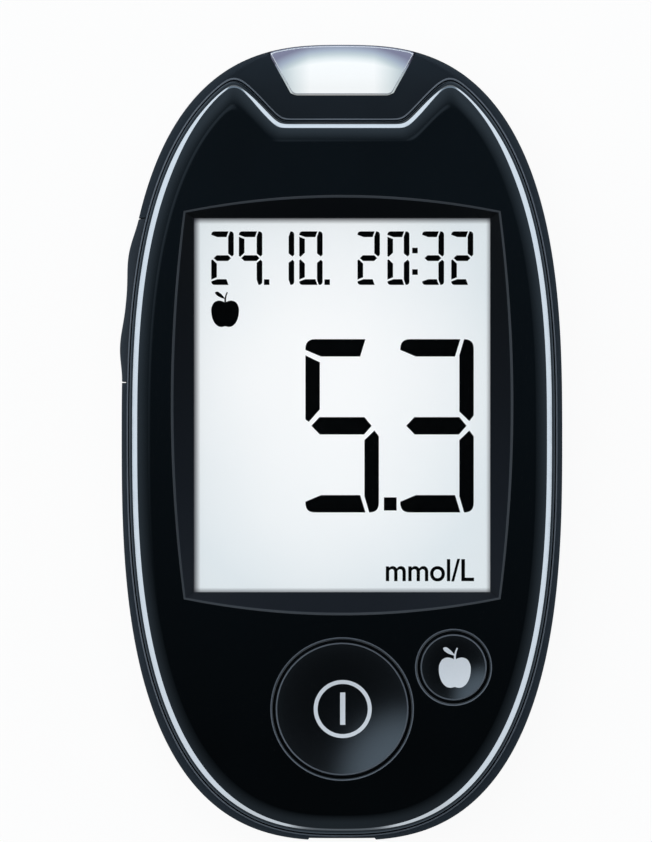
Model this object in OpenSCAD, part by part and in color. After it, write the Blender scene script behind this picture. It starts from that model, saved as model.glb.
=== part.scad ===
// Palm-sized blood glucose meter, lying on its back.
// X runs to the right, Y runs towards the strip port, Z runs out through the face.
// The origin is the middle of the flat back.

/* [Housing] */
// Length of the housing
body_l = 100; // [99:0.5:104]
// Width of the housing at its widest
body_w = 55.4; // [55:0.2:60]
// Height of the middle of the face above the flat back
body_h = 20.5; // [20.4:0.1:22]
// Distance of the seam between the two halves below the middle of the face
seam_drop = 3.7; // [3.6:0.1:3.9]
// Height of the widest section
girth_z = 10.4; // [9.6:0.1:11]
// Distance of the widest section above mid length
girth_y = 0.8; // [0.4:0.1:1.2]
// Squareness of the outline at the widest section, where 2 is an ellipse
outline_n = 2.75; // [2.7:0.01:2.9]
// Squareness of the outline at the seam
seam_n = 2.64; // [2.6:0.01:2.8]
// Inset of the seam from the widest section
seam_inset = 0.7; // [0.5:0.05:0.9]
// Inset of the flat back from the widest section
back_inset = 5.5; // [4.5:0.1:6]
// Wall of both halves
wall = 1.6; // [1.4:0.05:1.7]
// Width of the rounded rim of the front half
rim_w = 4; // [3.4:0.1:4.2]
// Squareness of the rounded rim, where 2 is an ellipse
rim_n = 2.8; // [2.4:0.1:3]
// Thickness of the front half at the middle of the face
face_t = 2.2; // [2:0.05:2.3]
// Drop of the domed face from its middle to its sides
crown = 0.6; // [0.3:0.05:0.8]

/* [Notch and strip port] */
// Depth of the notch in the front half, from the tip
notch_depth = 9.4; // [8.8:0.1:9.8]
// Half width of the notch floor
notch_half = 7.6; // [7.2:0.1:8]
// Angle of the notch flanks above the floor
notch_angle = 47.6; // [44:0.2:52]
// Width of the port guide at its inner edge
port_inner_w = 12.4; // [11:0.1:13]
// Width of the port guide where it meets the tip
port_outer_w = 18.3; // [17:0.1:19]
// Length of the port guide from the tip
port_l = 6.5; // [5.8:0.1:6.8]
// Corner radius of the port guide
port_corner = 1.1; // [0.6:0.1:1.6]
// Drop of the nose from the seam to the tip
nose_drop = 2.2; // [1.6:0.1:2.4]
// Width of the strip slot
slot_w = 8.2; // [7:0.1:9]
// Height of the strip slot
slot_h = 1; // [0.8:0.05:1.2]

/* [Display] */
// Width of the clear opening over the display
view_w = 37; // [35:0.1:37.6]
// Height of the clear opening over the display, as a share of the length
view_tall = 0.467; // [0.44:0.001:0.47]
// Distance of the display above mid length, as a share of the length
view_up = 0.047; // [0.045:0.001:0.049]
// Half width of the recess at mid height
recess_mid_x = 21.2; // [20.8:0.1:21.6]
// Half width of the recess at its corners
recess_end_x = 19.6; // [19:0.1:20]
// Width of the recess's upper and lower slopes on the centre line
slope_mid = 2.7; // [2.5:0.05:3]
// Width of the recess's upper and lower slopes at its corners
slope_end = 0.7; // [0.5:0.05:1]
// Thickness of the lip around the clear opening
lip_t = 0.8; // [0.6:0.05:1]
// Thickness of the clear window
pane_t = 1; // [0.8:0.05:1.1]
// Overlap of the window under the lip
pane_margin = 1.6; // [1:0.1:1.8]
// Thickness of the display glass
lcd_t = 1.8; // [1.6:0.05:2]
// Wall of the display frame
frame_t = 0.8; // [0.6:0.05:1]

/* [Buttons] */
// Diameter of the power button
power_d = 16.7; // [15:0.1:17]
// Distance of the power button below mid length, as a share of the length
power_down = 0.332; // [0.33:0.001:0.34]
// Diameter of the marker button
marker_d = 8.4; // [7:0.1:8.6]
// Sideways distance of the marker button, as a share of the width
marker_side = 0.251; // [0.248:0.001:0.256]
// Distance of the marker button below mid length, as a share of the length
marker_down = 0.28; // [0.278:0.001:0.284]
// Depth of the dish in a button, per millimetre of its diameter
dish_share = 0.05; // [0.02:0.005:0.07]
// Travel of both buttons
press = 0.4; // [0.3:0.05:0.5]
// Width of a button's retaining flange
flange_w = 0.9; // [0.7:0.05:1]
// Thickness of a button's retaining flange
flange_t = 0.75; // [0.6:0.05:0.8]

/* [Side rocker] */
// Length of the side rocker
rocker_l = 20.3; // [18:0.1:21]
// Distance of the rocker above mid length, as a share of the length
rocker_up = 0.1785; // [0.17:0.0005:0.185]
// Height of the rocker's lower edge
rocker_low = 6.6; // [6.4:0.1:7.2]
// Height of the two bumps on the rocker
rocker_bump = 0.38; // [0.2:0.02:0.5]
// Tilt of the rocker each way, in degrees
rocker_tilt = 2; // [1:0.1:2.4]
// Diameter of the rocker's pin
pin_d = 1.2; // [1:0.05:1.3]

/* [Cells and cover] */
// Diameter of one cell
cell_d = 10.5; // [10:0.05:10.6]
// Length of one cell with its cap
cell_l = 44.5; // [43:0.1:44.8]
// Distance of the cell bay's lower end below mid length
bay_low = 33.5; // [33:0.1:33.8]
// Thickness of the battery cover
cover_t = 1.2; // [1.1:0.05:1.3]
// Length of a contact spring at rest
spring_l = 3.4; // [2.8:0.1:3.6]
// Travel of the battery cover until its hooks let go
cover_slide = 5; // [4.5:0.1:6]
// Wire diameter of a contact spring
wire_d = 0.5; // [0.4:0.05:0.6]

/* [Board and sockets] */
// Thickness of the circuit board
board_t = 1; // [0.8:0.05:1.1]
// Width of the USB socket
usb_w = 7.7; // [7:0.1:8]
// Height of the USB socket
usb_h = 3.9; // [3.2:0.1:4]
// Length of the USB socket
usb_l = 9.2; // [8.5:0.1:9.5]
// Width of the scoop around the USB socket
scoop_w = 8.2; // [7.8:0.1:10]
// Depth of the scoop
scoop_depth = 0.5; // [0.3:0.05:0.6]
// Height of the strip connector
connector_h = 3; // [2.8:0.05:3.1]
// Diameter of a housing screw
screw_d = 2; // [1.8:0.1:2.2]

/* [Clearances] */
// Clearance around each button and around the port guide
gap = 0.2; // [0.15:0.01:0.25]
// Clearance around a cell and between stacked inner pieces
slack = 0.2; // [0.15:0.01:0.25]
// Radial clearance of the rocker on its pin
pin_gap = 0.05; // [0.03:0.01:0.08]
// Radial clearance of a pin or screw in the part that holds it
hold_gap = 0.02; // [0.01:0.01:0.04]

/* [Hidden] */

$fn = 48;
eps = 0.01;
far = 200;

// Places that follow the size of the housing
seam_z = body_h - seam_drop;
view_y = view_up * body_l;
view_h = view_tall * body_l;
recess_mid_y = view_h / 2 + slope_mid;
recess_end_y = view_h / 2 + slope_end;
power_y = power_down * body_l;
marker_x = marker_side * body_w;
marker_y = marker_down * body_l;
rocker_y = rocker_up * body_l;

// Heights of the stack, from the back up to the board. What lies between the cells and the
// face shares the height that the cells leave, so the thicknesses there follow the housing.
cell_z = cover_t + slack + cell_d / 2;
roof_z = cell_z + cell_d / 2 + slack;
usual_room = 8.4;
stack = (body_h - roof_z) / usual_room;
roof_t = 0.8 * stack;
tray_z = roof_z + roof_t;
board_z = tray_z + slack;
board_top = board_z + board_t * stack;

// Heights of the stack, from the face down to the display
ceiling_z = body_h - face_t * stack;
lip_z = ceiling_z + lip_t * stack;
pane_z = ceiling_z - pane_t * stack;
lcd_h = lcd_t * stack;
lcd_z = pane_z - slack - lcd_h;

// Outline of the housing, as a distance from the centre in a given direction
function oval(a, inset, n) =
    let (up = body_l / 2 - girth_y - inset, down = body_l / 2 + girth_y - inset,
         half = body_w / 2 - inset, reach = sin(a) > 0 ? up : down)
    pow(pow(abs(cos(a)) / half, n) + pow(abs(sin(a)) / reach, n), -1 / n);

// Smooth smaller and larger of two distances
function soft_min(p, q, k) =
    let (low = min(p, q), share = low / max(p, q)) low * pow(1 + pow(share, k), -1 / k);
function soft_max(p, q, k) =
    let (high = max(p, q), share = min(p, q) / high) high * pow(1 + pow(share, k), 1 / k);

// Edge of the notch, as a distance from the centre in a given direction
floor_y = body_l / 2 - notch_depth - girth_y;
flank_slope = tan(notch_angle);
function notch(a, inset) =
    let (rise = sin(a) - flank_slope * abs(cos(a)),
         floor_r = (floor_y - inset) / max(sin(a), 0.5),
         flank_y = floor_y - flank_slope * notch_half - inset * sqrt(1 + flank_slope * flank_slope),
         flank_r = rise > 0.01 ? min(far, flank_y / rise) : far)
    sin(a) < 0.5 ? far : soft_max(floor_r, flank_r, 90);

// Outline of the front half, inset from the seam's edge
function face_r(a, inset) =
    soft_min(oval(a, seam_inset + inset, seam_n), notch(a, inset), 70);

// Directions: coarse around the sides, fine across the notch
half_turn = concat([for (a = [-90 : 4 : 62]) a], [for (a = [65 : 1.5 : 89]) a]);
turn = concat(half_turn, [90], [for (i = [len(half_turn) - 1 : -1 : 1]) 180 - half_turn[i]]);
even_turn = [for (a = [-90 : 3.75 : 266.25]) a];

// Points in plan around the middle of the widest section
function polar(r, a) = [r * cos(a), girth_y + r * sin(a)];
function lift(p, z) = [p[0], p[1], z];
function face_plan(inset) = [for (a = turn) polar(face_r(a, inset), a)];
function face_z(x, y) =
    body_h - crown * (pow(2 * x / body_w, 2) + pow(2 * (y - girth_y) / body_l, 2));

// Solid through rings of points, closed by a fan at each end
module loft(rings, low, high) {
    n = len(rings[0]);
    m = len(rings);
    points = concat([for (ring = rings) each ring], [low, high]);
    sides = [for (j = [0 : m - 2], i = [0 : n - 1])
        each [[j * n + i, (j + 1) * n + i, (j + 1) * n + (i + 1) % n],
              [j * n + i, (j + 1) * n + (i + 1) % n, j * n + (i + 1) % n]]];
    bottom = [for (i = [0 : n - 1]) [n * m, i, (i + 1) % n]];
    top = [for (i = [0 : n - 1]) [n * m + 1, (m - 1) * n + (i + 1) % n, (m - 1) * n + i]];
    polyhedron(points = points, faces = concat(sides, bottom, top), convexity = 6);
}

// ---------------------------------------------------------------- rear half

// Inset and squareness of the rear half's outline at a height
function belly_inset(z) = z < girth_z
    ? back_inset * (1 - sqrt(max(0, 1 - pow((girth_z - z) / girth_z, 2))))
    : seam_inset * pow((z - girth_z) / (seam_z - girth_z), 2);
function belly_n(z) = z < girth_z ? outline_n
    : outline_n + (seam_n - outline_n) * pow((z - girth_z) / (seam_z - girth_z), 2);
function belly_ring(z, inset) = [for (a = even_turn)
    lift(polar(oval(a, belly_inset(z) + inset, belly_n(z)), a), z)];

// Curve along which the nose rolls down to the tip
nose_y = body_l / 2 - 5.5;
function nose_z(y) = seam_z - nose_drop * pow(max(0, y - nose_y) / (body_l / 2 - nose_y), 2);

module belly() {
    heights = concat([for (a = [90 : -15 : 0]) girth_z * (1 - sin(a))],
                     [for (i = [1 : 3]) girth_z + (seam_z - girth_z) * i / 3]);
    top = body_l / 2 + 1;
    difference() {
        loft([for (z = heights) belly_ring(z, 0)], [0, girth_y, 0], [0, girth_y, seam_z]);
        translate([-body_w, 0, 0]) rotate([90, 0, 90]) linear_extrude(2 * body_w)
            polygon(concat([for (i = [1 : 7]) let (y = nose_y + (top - nose_y) * i / 7) [y, nose_z(y)]],
                           [[top, seam_z + 1], [nose_y - 0.5, seam_z + 1]]));
    }
}

// Height of the underside of the nose shelf
shelf_z = seam_z - wall;
lip_in = 0.8;
lip_gap = 0.1;
tongue_h = 1.2;

module belly_air() {
    steps = 6;
    rings = [for (i = [0 : steps]) let (z = wall + (shelf_z - wall) * i / steps) belly_ring(z, wall)];
    loft(rings, [0, girth_y, wall], [0, girth_y, shelf_z]);
    translate([0, 0, shelf_z - 0.5])
        linear_extrude(seam_z - shelf_z + 1) polygon(face_plan(wall + lip_gap));
    translate([0, 0, seam_z - tongue_h - lip_gap])
        linear_extrude(tongue_h + 1) polygon(face_plan(lip_in));
}

// Cell bay and battery cover
bay_l = cell_l + spring_l + 1.6;
bay_high = bay_l - bay_low;
cell_x = cell_d / 2 + 0.35;
bay_half = cell_x + cell_d / 2 + slack;
cover_half = bay_half + 2.2;
cover_high = bay_high + 2.6;
cover_corner = 2.5;
cover_gap = 0.15;
ledge_z = cover_t + 0.05;
ledge_t = 1.4;

// Hooks of the cover, which slide in behind the ledge
hook_l = 4;
hook_z = ledge_z + ledge_t + 0.1;
hook_h = 1;
hook_out = bay_half + 0.8;
hooks = [for (i = [0 : 2]) bay_high - 7 - i * (bay_l - 14) / 2.2];

// Outline of the cover, which runs out past the lower end
module cover_plan(margin) {
    round_rect(-cover_half - margin, -body_l, cover_half + margin, cover_high + margin,
               cover_corner + margin);
}

module round_rect(x0, y0, x1, y1, r) {
    polygon([for (c = [[x1 - r, y1 - r, 0], [x0 + r, y1 - r, 90], [x0 + r, y0 + r, 180],
                       [x1 - r, y0 + r, 270]], i = [0 : 6])
        [c[0] + r * cos(c[2] + 15 * i), c[1] + r * sin(c[2] + 15 * i)]]);
}

module box(x0, y0, z0, x1, y1, z1) {
    translate([x0, y0, z0]) cube([x1 - x0, y1 - y0, z1 - z0]);
}

// Screw places, near the four corners
screw_low = [body_w / 2 - 11.5, -body_l / 2 + 13.5];
screw_high = [body_w / 2 - 10.2, body_l / 2 - 16.5];
screws = [for (s = [-1, 1], p = [screw_low, screw_high]) [s * p[0], p[1]]];
post_d = screw_d + 3;
head_d = screw_d * 1.8;
head_h = screw_d * 0.7;
head_z = 3;

// Rocker places
function side_x(y, z) =
    let (inset = belly_inset(z), n = belly_n(z), half = body_w / 2 - inset,
         reach = (y > girth_y ? body_l / 2 - girth_y : body_l / 2 + girth_y) - inset)
    half * pow(1 - pow(abs(y - girth_y) / reach, n), 1 / n);
rocker_t = wall;
rocker_high = seam_z - slack;
pin_in = pin_d + 0.4;
pin_x = -(side_x(rocker_y, girth_z) - rocker_t - pin_in);
pin_low = rocker_low + 0.6;
ear_low = rocker_low + 1.8;
ear_high = board_z - 1.3;
ear_r = pin_d / 2 + 0.9;
arm_half = 1;
arm_x = pin_x + ear_r + slack;
switch_spread = rocker_l * 0.37;
switch_gap = (switch_spread + 0.9) * sin(rocker_tilt) + 0.36;

// Sockets
slot_high = board_z - 0.6;
slot_low = slot_high - slot_h;
connector_y = floor_y + girth_y + 0.6;
connector_l = 10.5;
connector_w = slot_w + 4.8;
usb_z = board_z - usb_h;
usb_mouth = -body_l / 2 + scoop_depth + 0.3;
scoop_low = usb_z + usb_h / 2 - 5.2;

module port_plan(margin) {
    inner = port_inner_w / 2;
    outer = port_outer_w / 2;
    y0 = body_l / 2 - port_l;
    lean = (outer - inner) / (port_l - 1.5);
    offset(delta = margin) hull() {
        for (s = [-1, 1]) {
            translate([s * (inner - port_corner * 0.55), y0 + port_corner])
                circle(r = port_corner, $fn = 32);
            translate([s * (inner + lean * (port_l + 0.5)), y0 + port_l + 1]) circle(r = eps, $fn = 16);
        }
    }
}

module bay_and_posts() {
    box(-bay_half - 1, -bay_low - 1, 0, bay_half + 1, bay_high + 1, tray_z);
    box(-cover_half - 1.6, -body_l, 0, cover_half + 1.6, cover_high + 1.6, ledge_z + ledge_t);
    for (p = screws) translate([p[0], p[1], 0]) cylinder(h = board_z, d = post_d);
    box(-slot_w / 2 - 1.6, connector_y + 0.3, slot_low - 1.4, slot_w / 2 + 1.6, body_l / 2, slot_high + 0.9);
    rocker_bracket();
    for (x = [-1, 1]) box(x * 5 - 0.5, -bay_low - 5, 0, x * 5 + 0.5, -bay_low - 0.5, tray_z - 4);
}

// C-shaped bracket that holds the rocker's pin at both ends
module rocker_bracket() {
    y0 = rocker_y - arm_half;
    y1 = rocker_y + arm_half;
    box(arm_x, y0, 0, arm_x + 1.4, y1, board_z - slack);
    box(pin_x - arm_half, y0, 0, arm_x + eps, y1, ear_low - 0.1);
    box(pin_x - arm_half, y0, ear_high + 0.1, arm_x + eps, y1, board_z - slack);
}

module rear_shell() {
    color([0.14, 0.16, 0.19]) difference() {
        belly();
        difference() {
            belly_air();
            bay_and_posts();
        }
        rear_cuts();
    }
}

module rear_cuts() {
    // cell bay
    box(-bay_half, -bay_low, -1, bay_half, bay_high, roof_z);
    // recess for the cover
    translate([0, 0, -1]) linear_extrude(1 + ledge_z) cover_plan(cover_gap);
    // slots for the cover's hooks, with a gap in the ledge where each hook lets go
    for (s = [-1, 1], y = hooks) {
        let_go = y - cover_slide - slack;
        box(s > 0 ? 0 : -hook_out - slack, let_go, hook_z - 0.1, s > 0 ? hook_out + slack : 0,
            y + hook_l + slack, hook_z + hook_h + 0.15);
        box(s > 0 ? 0 : -hook_out - slack, let_go, ledge_z - 0.1, s > 0 ? hook_out + slack : 0,
            let_go + hook_l + 2 * slack, hook_z);
    }
    // screw holes with deep head seats
    for (p = screws) translate([p[0], p[1], 0]) {
        translate([0, 0, -1]) cylinder(h = head_z + 1, d = head_d + 0.6);
        cylinder(h = far / 4, d = screw_d + 0.3);
    }
    // strip slot and the seat of the port guide
    box(-slot_w / 2, connector_y - 1, slot_low, slot_w / 2, body_l / 2 + 1, slot_high + eps);
    translate([0, 0, slot_high]) linear_extrude(5) port_plan(gap / 2);
    // scoop and mouth of the USB socket
    scoop_y = -body_l / 2 + scoop_depth;
    translate([0, 0, scoop_low]) linear_extrude(seam_z - 0.9 - scoop_low)
        polygon([[-scoop_w / 2, scoop_y], [scoop_w / 2, scoop_y], [scoop_w / 2 + 1, scoop_y - 2],
                 [-scoop_w / 2 - 1, scoop_y - 2]]);
    box(-usb_w / 2 - gap, -body_l / 2 - 1, usb_z - gap, usb_w / 2 + gap, -body_l / 2 + 4, board_z + gap);
    // window for the rocker round its bracket, and the bores of its pin
    difference() {
        box(-body_w, rocker_y - rocker_l / 2 - gap, rocker_low - gap, -body_w / 2 + 5,
            rocker_y + rocker_l / 2 + gap, seam_z + 1);
        box(pin_x - arm_half, rocker_y - arm_half, 0, 0, rocker_y + arm_half, board_z);
    }
    translate([pin_x, rocker_y, pin_low]) cylinder(h = far / 4, r = pin_d / 2 + hold_gap);
    // sound holes under the buzzer
    for (i = [0 : 4]) translate([buzzer_x + 2.2 * cos(72 * i), buzzer_y + 2.2 * sin(72 * i), -1])
        cylinder(h = wall + 2, d = 0.9, $fn = 24);
}

// --------------------------------------------------------------- front half

// Rounded rim: inset from the seam's edge, and height as a share of the way up to the face
edge_in = 0.06;
bevel = [for (share = [0, 0.4, 0.6, 0.74, 0.85, 0.93, 0.98, 1])
    [edge_in + (rim_w - edge_in) * (1 - pow(1 - pow(share, rim_n), 1 / rim_n)), share]];

function bevel_ring(inset, share) = [for (p = face_plan(inset))
    lift(p, seam_z + (face_z(p[0], p[1]) - seam_z) * share)];
function inner_ring(inset, k) = [for (a = turn)
    let (p = polar(face_r(a, inset) * k, a)) lift(p, face_z(p[0], p[1]))];

// The underside's fan is centred to one side, so that its lines miss the corners of the tongue
fan_low = [0.43, girth_y - 2.7, seam_z];

module face_dome() {
    loft(concat([for (b = bevel) bevel_ring(b[0], b[1])], [for (k = [0.85, 0.6, 0.3]) inner_ring(rim_w, k)]),
        fan_low, [0, girth_y, body_h]);
}

function flat_ring(inset, z) = [for (p = face_plan(inset)) lift(p, z)];

module face_air() {
    low = seam_z - 2 * tongue_h;
    loft([flat_ring(wall + lip_gap, low), flat_ring(wall + lip_gap, seam_z),
          flat_ring(wall + 0.6, ceiling_z - 0.6), flat_ring(wall + 1.5, ceiling_z)],
        [0, girth_y, low], [0, girth_y, ceiling_z]);
}

// Sloped barrel-shaped recess around the display: half sizes at each height
function barrel(t, side, hx, hy, mx, my) =
    side == 0 ? [hx + (mx - hx) * (1 - t * t), t * hy] :
    side == 1 ? [-t * hx, hy + (my - hy) * (1 - t * t)] :
    side == 2 ? [-hx - (mx - hx) * (1 - t * t), -t * hy] :
                [t * hx, -hy - (my - hy) * (1 - t * t)];
function barrel_plan(hx, hy, mx, my) = [for (side = [0 : 3], i = [0 : 9])
    let (p = barrel(-1 + i / 5, side, hx, hy, mx, my)) [p[0], p[1] + view_y]];

module display_recess() {
    low = barrel_plan(view_w / 2, view_h / 2, view_w / 2, view_h / 2);
    rim = barrel_plan(recess_end_x, recess_end_y, recess_mid_x, recess_mid_y);
    // the slope runs on past the face, so that it meets the face at the rim
    above = [for (i = [0 : len(rim) - 1])
        let (z = face_z(rim[i][0], rim[i][1]), k = (z + 1 - lip_z) / (z - lip_z))
        [low[i][0] + (rim[i][0] - low[i][0]) * k, low[i][1] + (rim[i][1] - low[i][1]) * k, z + 1]];
    loft([[for (p = low) lift(p, lip_z)], above], [0, view_y, lip_z], [0, view_y, body_h + 1]);
}

// Hole for a button, with a small chamfer at the face
module button_hole(x, y, d) {
    r = d / 2 + gap;
    z = face_z(x, y);
    translate([x, y, 0]) rotate_extrude($fn = 96)
        polygon([[0, ceiling_z - 1], [r, ceiling_z - 1], [r, z - 0.3], [r + 1.3, z + 1], [0, z + 1]]);
}

module front_shell() {
    color([0.02, 0.025, 0.03]) difference() {
        union() {
            difference() {
                union() {
                    face_dome();
                    front_tongue();
                }
                face_air();
            }
            display_rib();
            for (p = screws) translate([p[0], p[1], board_top])
                cylinder(h = ceiling_z + 0.5 - board_top, d = post_d - 0.6);
        }
        display_recess();
        box(-view_x, view_y - view_half, ceiling_z - 1, view_x, view_y + view_half, lip_z + 0.1);
        button_hole(0, -power_y, power_d);
        button_hole(marker_x, -marker_y, marker_d);
        for (p = screws) translate([p[0], p[1], board_top - 1])
            cylinder(h = ceiling_z - board_top + 0.2, r = screw_d / 2 + hold_gap);
    }
}

// Clear opening, a hair inside the foot of the recess
view_x = view_w / 2 - 0.04;
view_half = view_h / 2 - 0.04;

// Rib around the window, which centres it under the lip
rib_gap = 0.15;
module display_rib() {
    hx = view_w / 2 + pane_margin + rib_gap;
    hy = view_h / 2 + pane_margin + rib_gap;
    difference() {
        box(-hx - 0.5, view_y - hy - 0.5, pane_z + 0.2, hx + 0.5, view_y + hy + 0.5, ceiling_z + 0.3);
        box(-hx, view_y - hy, pane_z - 1, hx, view_y + hy, ceiling_z + 1);
    }
}

// Tongue that enters the rear half below the seam, open at the rocker and the USB socket
module front_tongue() {
    difference() {
        translate([0, 0, seam_z - tongue_h]) linear_extrude(tongue_h + 0.6)
            polygon(face_plan(lip_in + lip_gap));
        box(-body_w, rocker_y - rocker_l / 2 - 1, 0, -body_w / 3, rocker_y + rocker_l / 2 + 1, far);
        box(-usb_w, -body_l, 0, usb_w, -body_l / 2 + 4, far);
    }
}

// --------------------------------------------------------- port and display

module port_guide() {
    color([0.86, 0.86, 0.9]) intersection() {
        belly();
        translate([0, 0, slot_high]) linear_extrude(5) port_plan(-gap / 2);
    }
}

module display_window() {
    hx = view_w / 2 + pane_margin;
    hy = view_h / 2 + pane_margin;
    color([0.9, 0.95, 1, 0.35]) translate([0, 0, pane_z]) linear_extrude(pane_t * stack)
        round_rect(-hx, view_y - hy, hx, view_y + hy, 0.8);
}

lcd_hx = view_w / 2 + 1.2;
lcd_high = view_y + view_h / 2 + 1.2;
lcd_low = view_y - view_h / 2 - 3.6;
ledge_h = 2.6;

module lcd_glass() {
    color([0.82, 0.86, 0.9]) {
        box(-lcd_hx, lcd_low, lcd_z + lcd_h / 2, lcd_hx, lcd_high, lcd_z + lcd_h);
        box(-lcd_hx, lcd_low + ledge_h, lcd_z, lcd_hx, lcd_high, lcd_z + lcd_h / 2 + eps);
    }
}

module lcd_frame() {
    x = lcd_hx + 0.1;
    y0 = lcd_low - 0.1;
    y1 = lcd_high + 0.1;
    color([0.9, 0.9, 0.88]) difference() {
        box(-x - frame_t, y0 - frame_t, board_top, x + frame_t, y1 + frame_t, lcd_z + lcd_h * 0.7);
        box(-x, y0, lcd_z - 0.01, x, y1, far / 4);
        box(-view_w / 2 - 0.3, view_y - view_h / 2 - 0.3, 0, view_w / 2 + 0.3, y1 - 0.5, far / 4);
        box(-view_w / 2 - 0.3, y0 + 0.3, 0, view_w / 2 + 0.3, lcd_low + 1.8, far / 4);
    }
}

module light_guide() {
    color([0.97, 0.98, 1]) box(-view_w / 2, view_y - view_h / 2, board_top, view_w / 2,
        lcd_high - 0.7, lcd_z);
}

module contact_strip() {
    color([0.85, 0.5, 0.5]) box(-view_w / 2 + 1, lcd_low + 0.35, board_top, view_w / 2 - 1,
        lcd_low + 1.65, lcd_z + lcd_h / 2);
}

// --------------------------------------------------------------------- board

module main_board() {
    color([0.05, 0.3, 0.16]) difference() {
        translate([0, 0, board_z]) linear_extrude(board_t * stack) polygon(face_plan(wall + lip_gap + 0.4));
        for (p = screws) translate([p[0], p[1], 0]) cylinder(h = far / 4, d = screw_d + 0.3);
        box(-usb_w / 2 - gap, -body_l, 0, usb_w / 2 + gap, -body_l / 2 + 3.2, far / 4);
    }
}

button_places = [[0, -power_y, power_d], [marker_x, -marker_y, marker_d]];
button_low = ceiling_z - 0.1 - flange_t;
mat_z = board_top + 0.5;
mat_t = 0.5;
mat_top = button_low - press - 0.05;

module snap_domes() {
    color([0.8, 0.8, 0.78]) for (b = button_places) translate([b[0], b[1], board_top])
        rotate_extrude() polygon([[0, 0], [b[2] / 4, 0], [b[2] / 4, 0.12], [b[2] / 6, 0.3], [0, 0.38]]);
}

module keypad_mat() {
    color([0.75, 0.75, 0.78]) difference() {
        union() {
            translate([0, 0, mat_z]) linear_extrude(mat_t) hull() for (b = button_places)
                translate([b[0], b[1]]) circle(d = b[2] + 1.1, $fn = 64);
            for (b = button_places) translate([b[0], b[1], 0]) {
                translate([0, 0, board_top]) cylinder(h = mat_z - board_top + eps, d = b[2] + 1);
                translate([0, 0, mat_z]) cylinder(h = mat_top - mat_z, d1 = b[2] * 0.8, d2 = b[2] * 0.7);
            }
        }
        for (b = button_places) translate([b[0], b[1], board_top - 1]) {
            cylinder(h = 1.4, d = b[2] - 0.8);
            translate([0, 0, 1.3]) difference() {
                cylinder(h = mat_top - board_top - 1.1, d1 = b[2] * 0.6, d2 = b[2] * 0.5);
                translate([0, 0, -1]) cylinder(h = far / 4, d = b[2] * 0.3);
            }
        }
    }
}

// Dished cap with a flange below the face and a hollow underside
module dish_button(x, y, d) {
    top = face_z(x, y) - 0.12;
    r = d / 2;
    dish = d * dish_share;
    edge = [for (a = [0 : 22.5 : 90]) [r - 0.25 + 0.25 * cos(a), top - 0.25 + 0.25 * sin(a)]];
    bowl = [for (i = [1 : 8]) let (q = 1 - i / 8) [(r - 0.25) * q, top - dish * (1 - q * q)]];
    translate([x, y, 0]) rotate_extrude($fn = 96) polygon(concat(
        [[0, button_low], [r * 0.62, button_low], [r * 0.62, ceiling_z], [r - 1, ceiling_z],
         [r - 1, button_low], [r + flange_w, button_low], [r + flange_w, button_low + flange_t],
         [r, button_low + flange_t]], edge, bowl));
}

module power_button() {
    color([0.03, 0.035, 0.04]) dish_button(0, -power_y, power_d);
}

module marker_button() {
    color([0.03, 0.035, 0.04]) dish_button(marker_x, -marker_y, marker_d);
}

// -------------------------------------------------------------------- rocker

function bump(y) = let (u = abs(y - rocker_y) / (rocker_l / 2))
    rocker_bump * pow(sin(180 * pow(min(1, u), 1.2)), 2);

module side_rocker() {
    steps = 20;
    ys = [for (i = [0 : steps]) rocker_y + rocker_l * (i / steps - 0.5)];
    rise = rocker_high - rocker_low;
    function swell(z) = sin(180 * pow((z - rocker_low) / rise, 0.8));
    rings = [for (k = [0 : 8]) let (z = rocker_low + rise * k / 8) concat(
        [for (i = [steps : -1 : 0]) [-side_x(ys[i], z) - bump(ys[i]) * max(0, swell(z)), ys[i], z]],
        [for (y = ys) [-side_x(y, z) + rocker_t, y, z]])];
    color([0.12, 0.14, 0.17]) {
        loft(rings, [-side_x(rocker_y, rocker_low) + rocker_t / 2, rocker_y, rocker_low],
            [-side_x(rocker_y, rocker_high) + rocker_t / 2, rocker_y, rocker_high]);
        difference() {
            union() {
                translate([pin_x, rocker_y, ear_low]) cylinder(h = ear_high - ear_low, r = ear_r);
                box(pin_x - pin_in - 0.3, rocker_y - ear_r, ear_low, pin_x, rocker_y + ear_r, ear_high);
            }
            translate([pin_x, rocker_y, 0]) cylinder(h = far / 4, r = pin_d / 2 + pin_gap);
        }
    }
}

module rocker_pin() {
    color([0.75, 0.76, 0.78]) translate([pin_x, rocker_y, pin_low])
        cylinder(h = board_z - slack - pin_low, d = pin_d);
}

module side_switches() {
    for (s = [-1, 1]) {
        y = rocker_y + s * switch_spread;
        x = -side_x(y, girth_z) + rocker_t + switch_gap;
        color([0.1, 0.1, 0.1]) box(x + 0.5, y - 2, board_z - 1.7, x + 3.4, y + 2, board_z);
        color([0.85, 0.85, 0.8]) box(x, y - 0.9, board_z - 1.3, x + 0.5, y + 0.9, board_z - 0.4);
    }
}

// ------------------------------------------------------------- small devices

module strip_connector() {
    w = connector_w / 2;
    y1 = connector_y;
    color([0.08, 0.08, 0.09]) difference() {
        box(-w, y1 - connector_l, board_z - connector_h, w, y1, board_z);
        box(-slot_w / 2, y1 - connector_l + 1.5, slot_low, slot_w / 2, y1 + 1, slot_high);
        for (i = [-2 : 2]) box(i * 1.4 - 0.35, y1 - connector_l - 1, slot_high - eps,
            i * 1.4 + 0.35, y1 - 2, slot_high + 0.35);
    }
}

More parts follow.
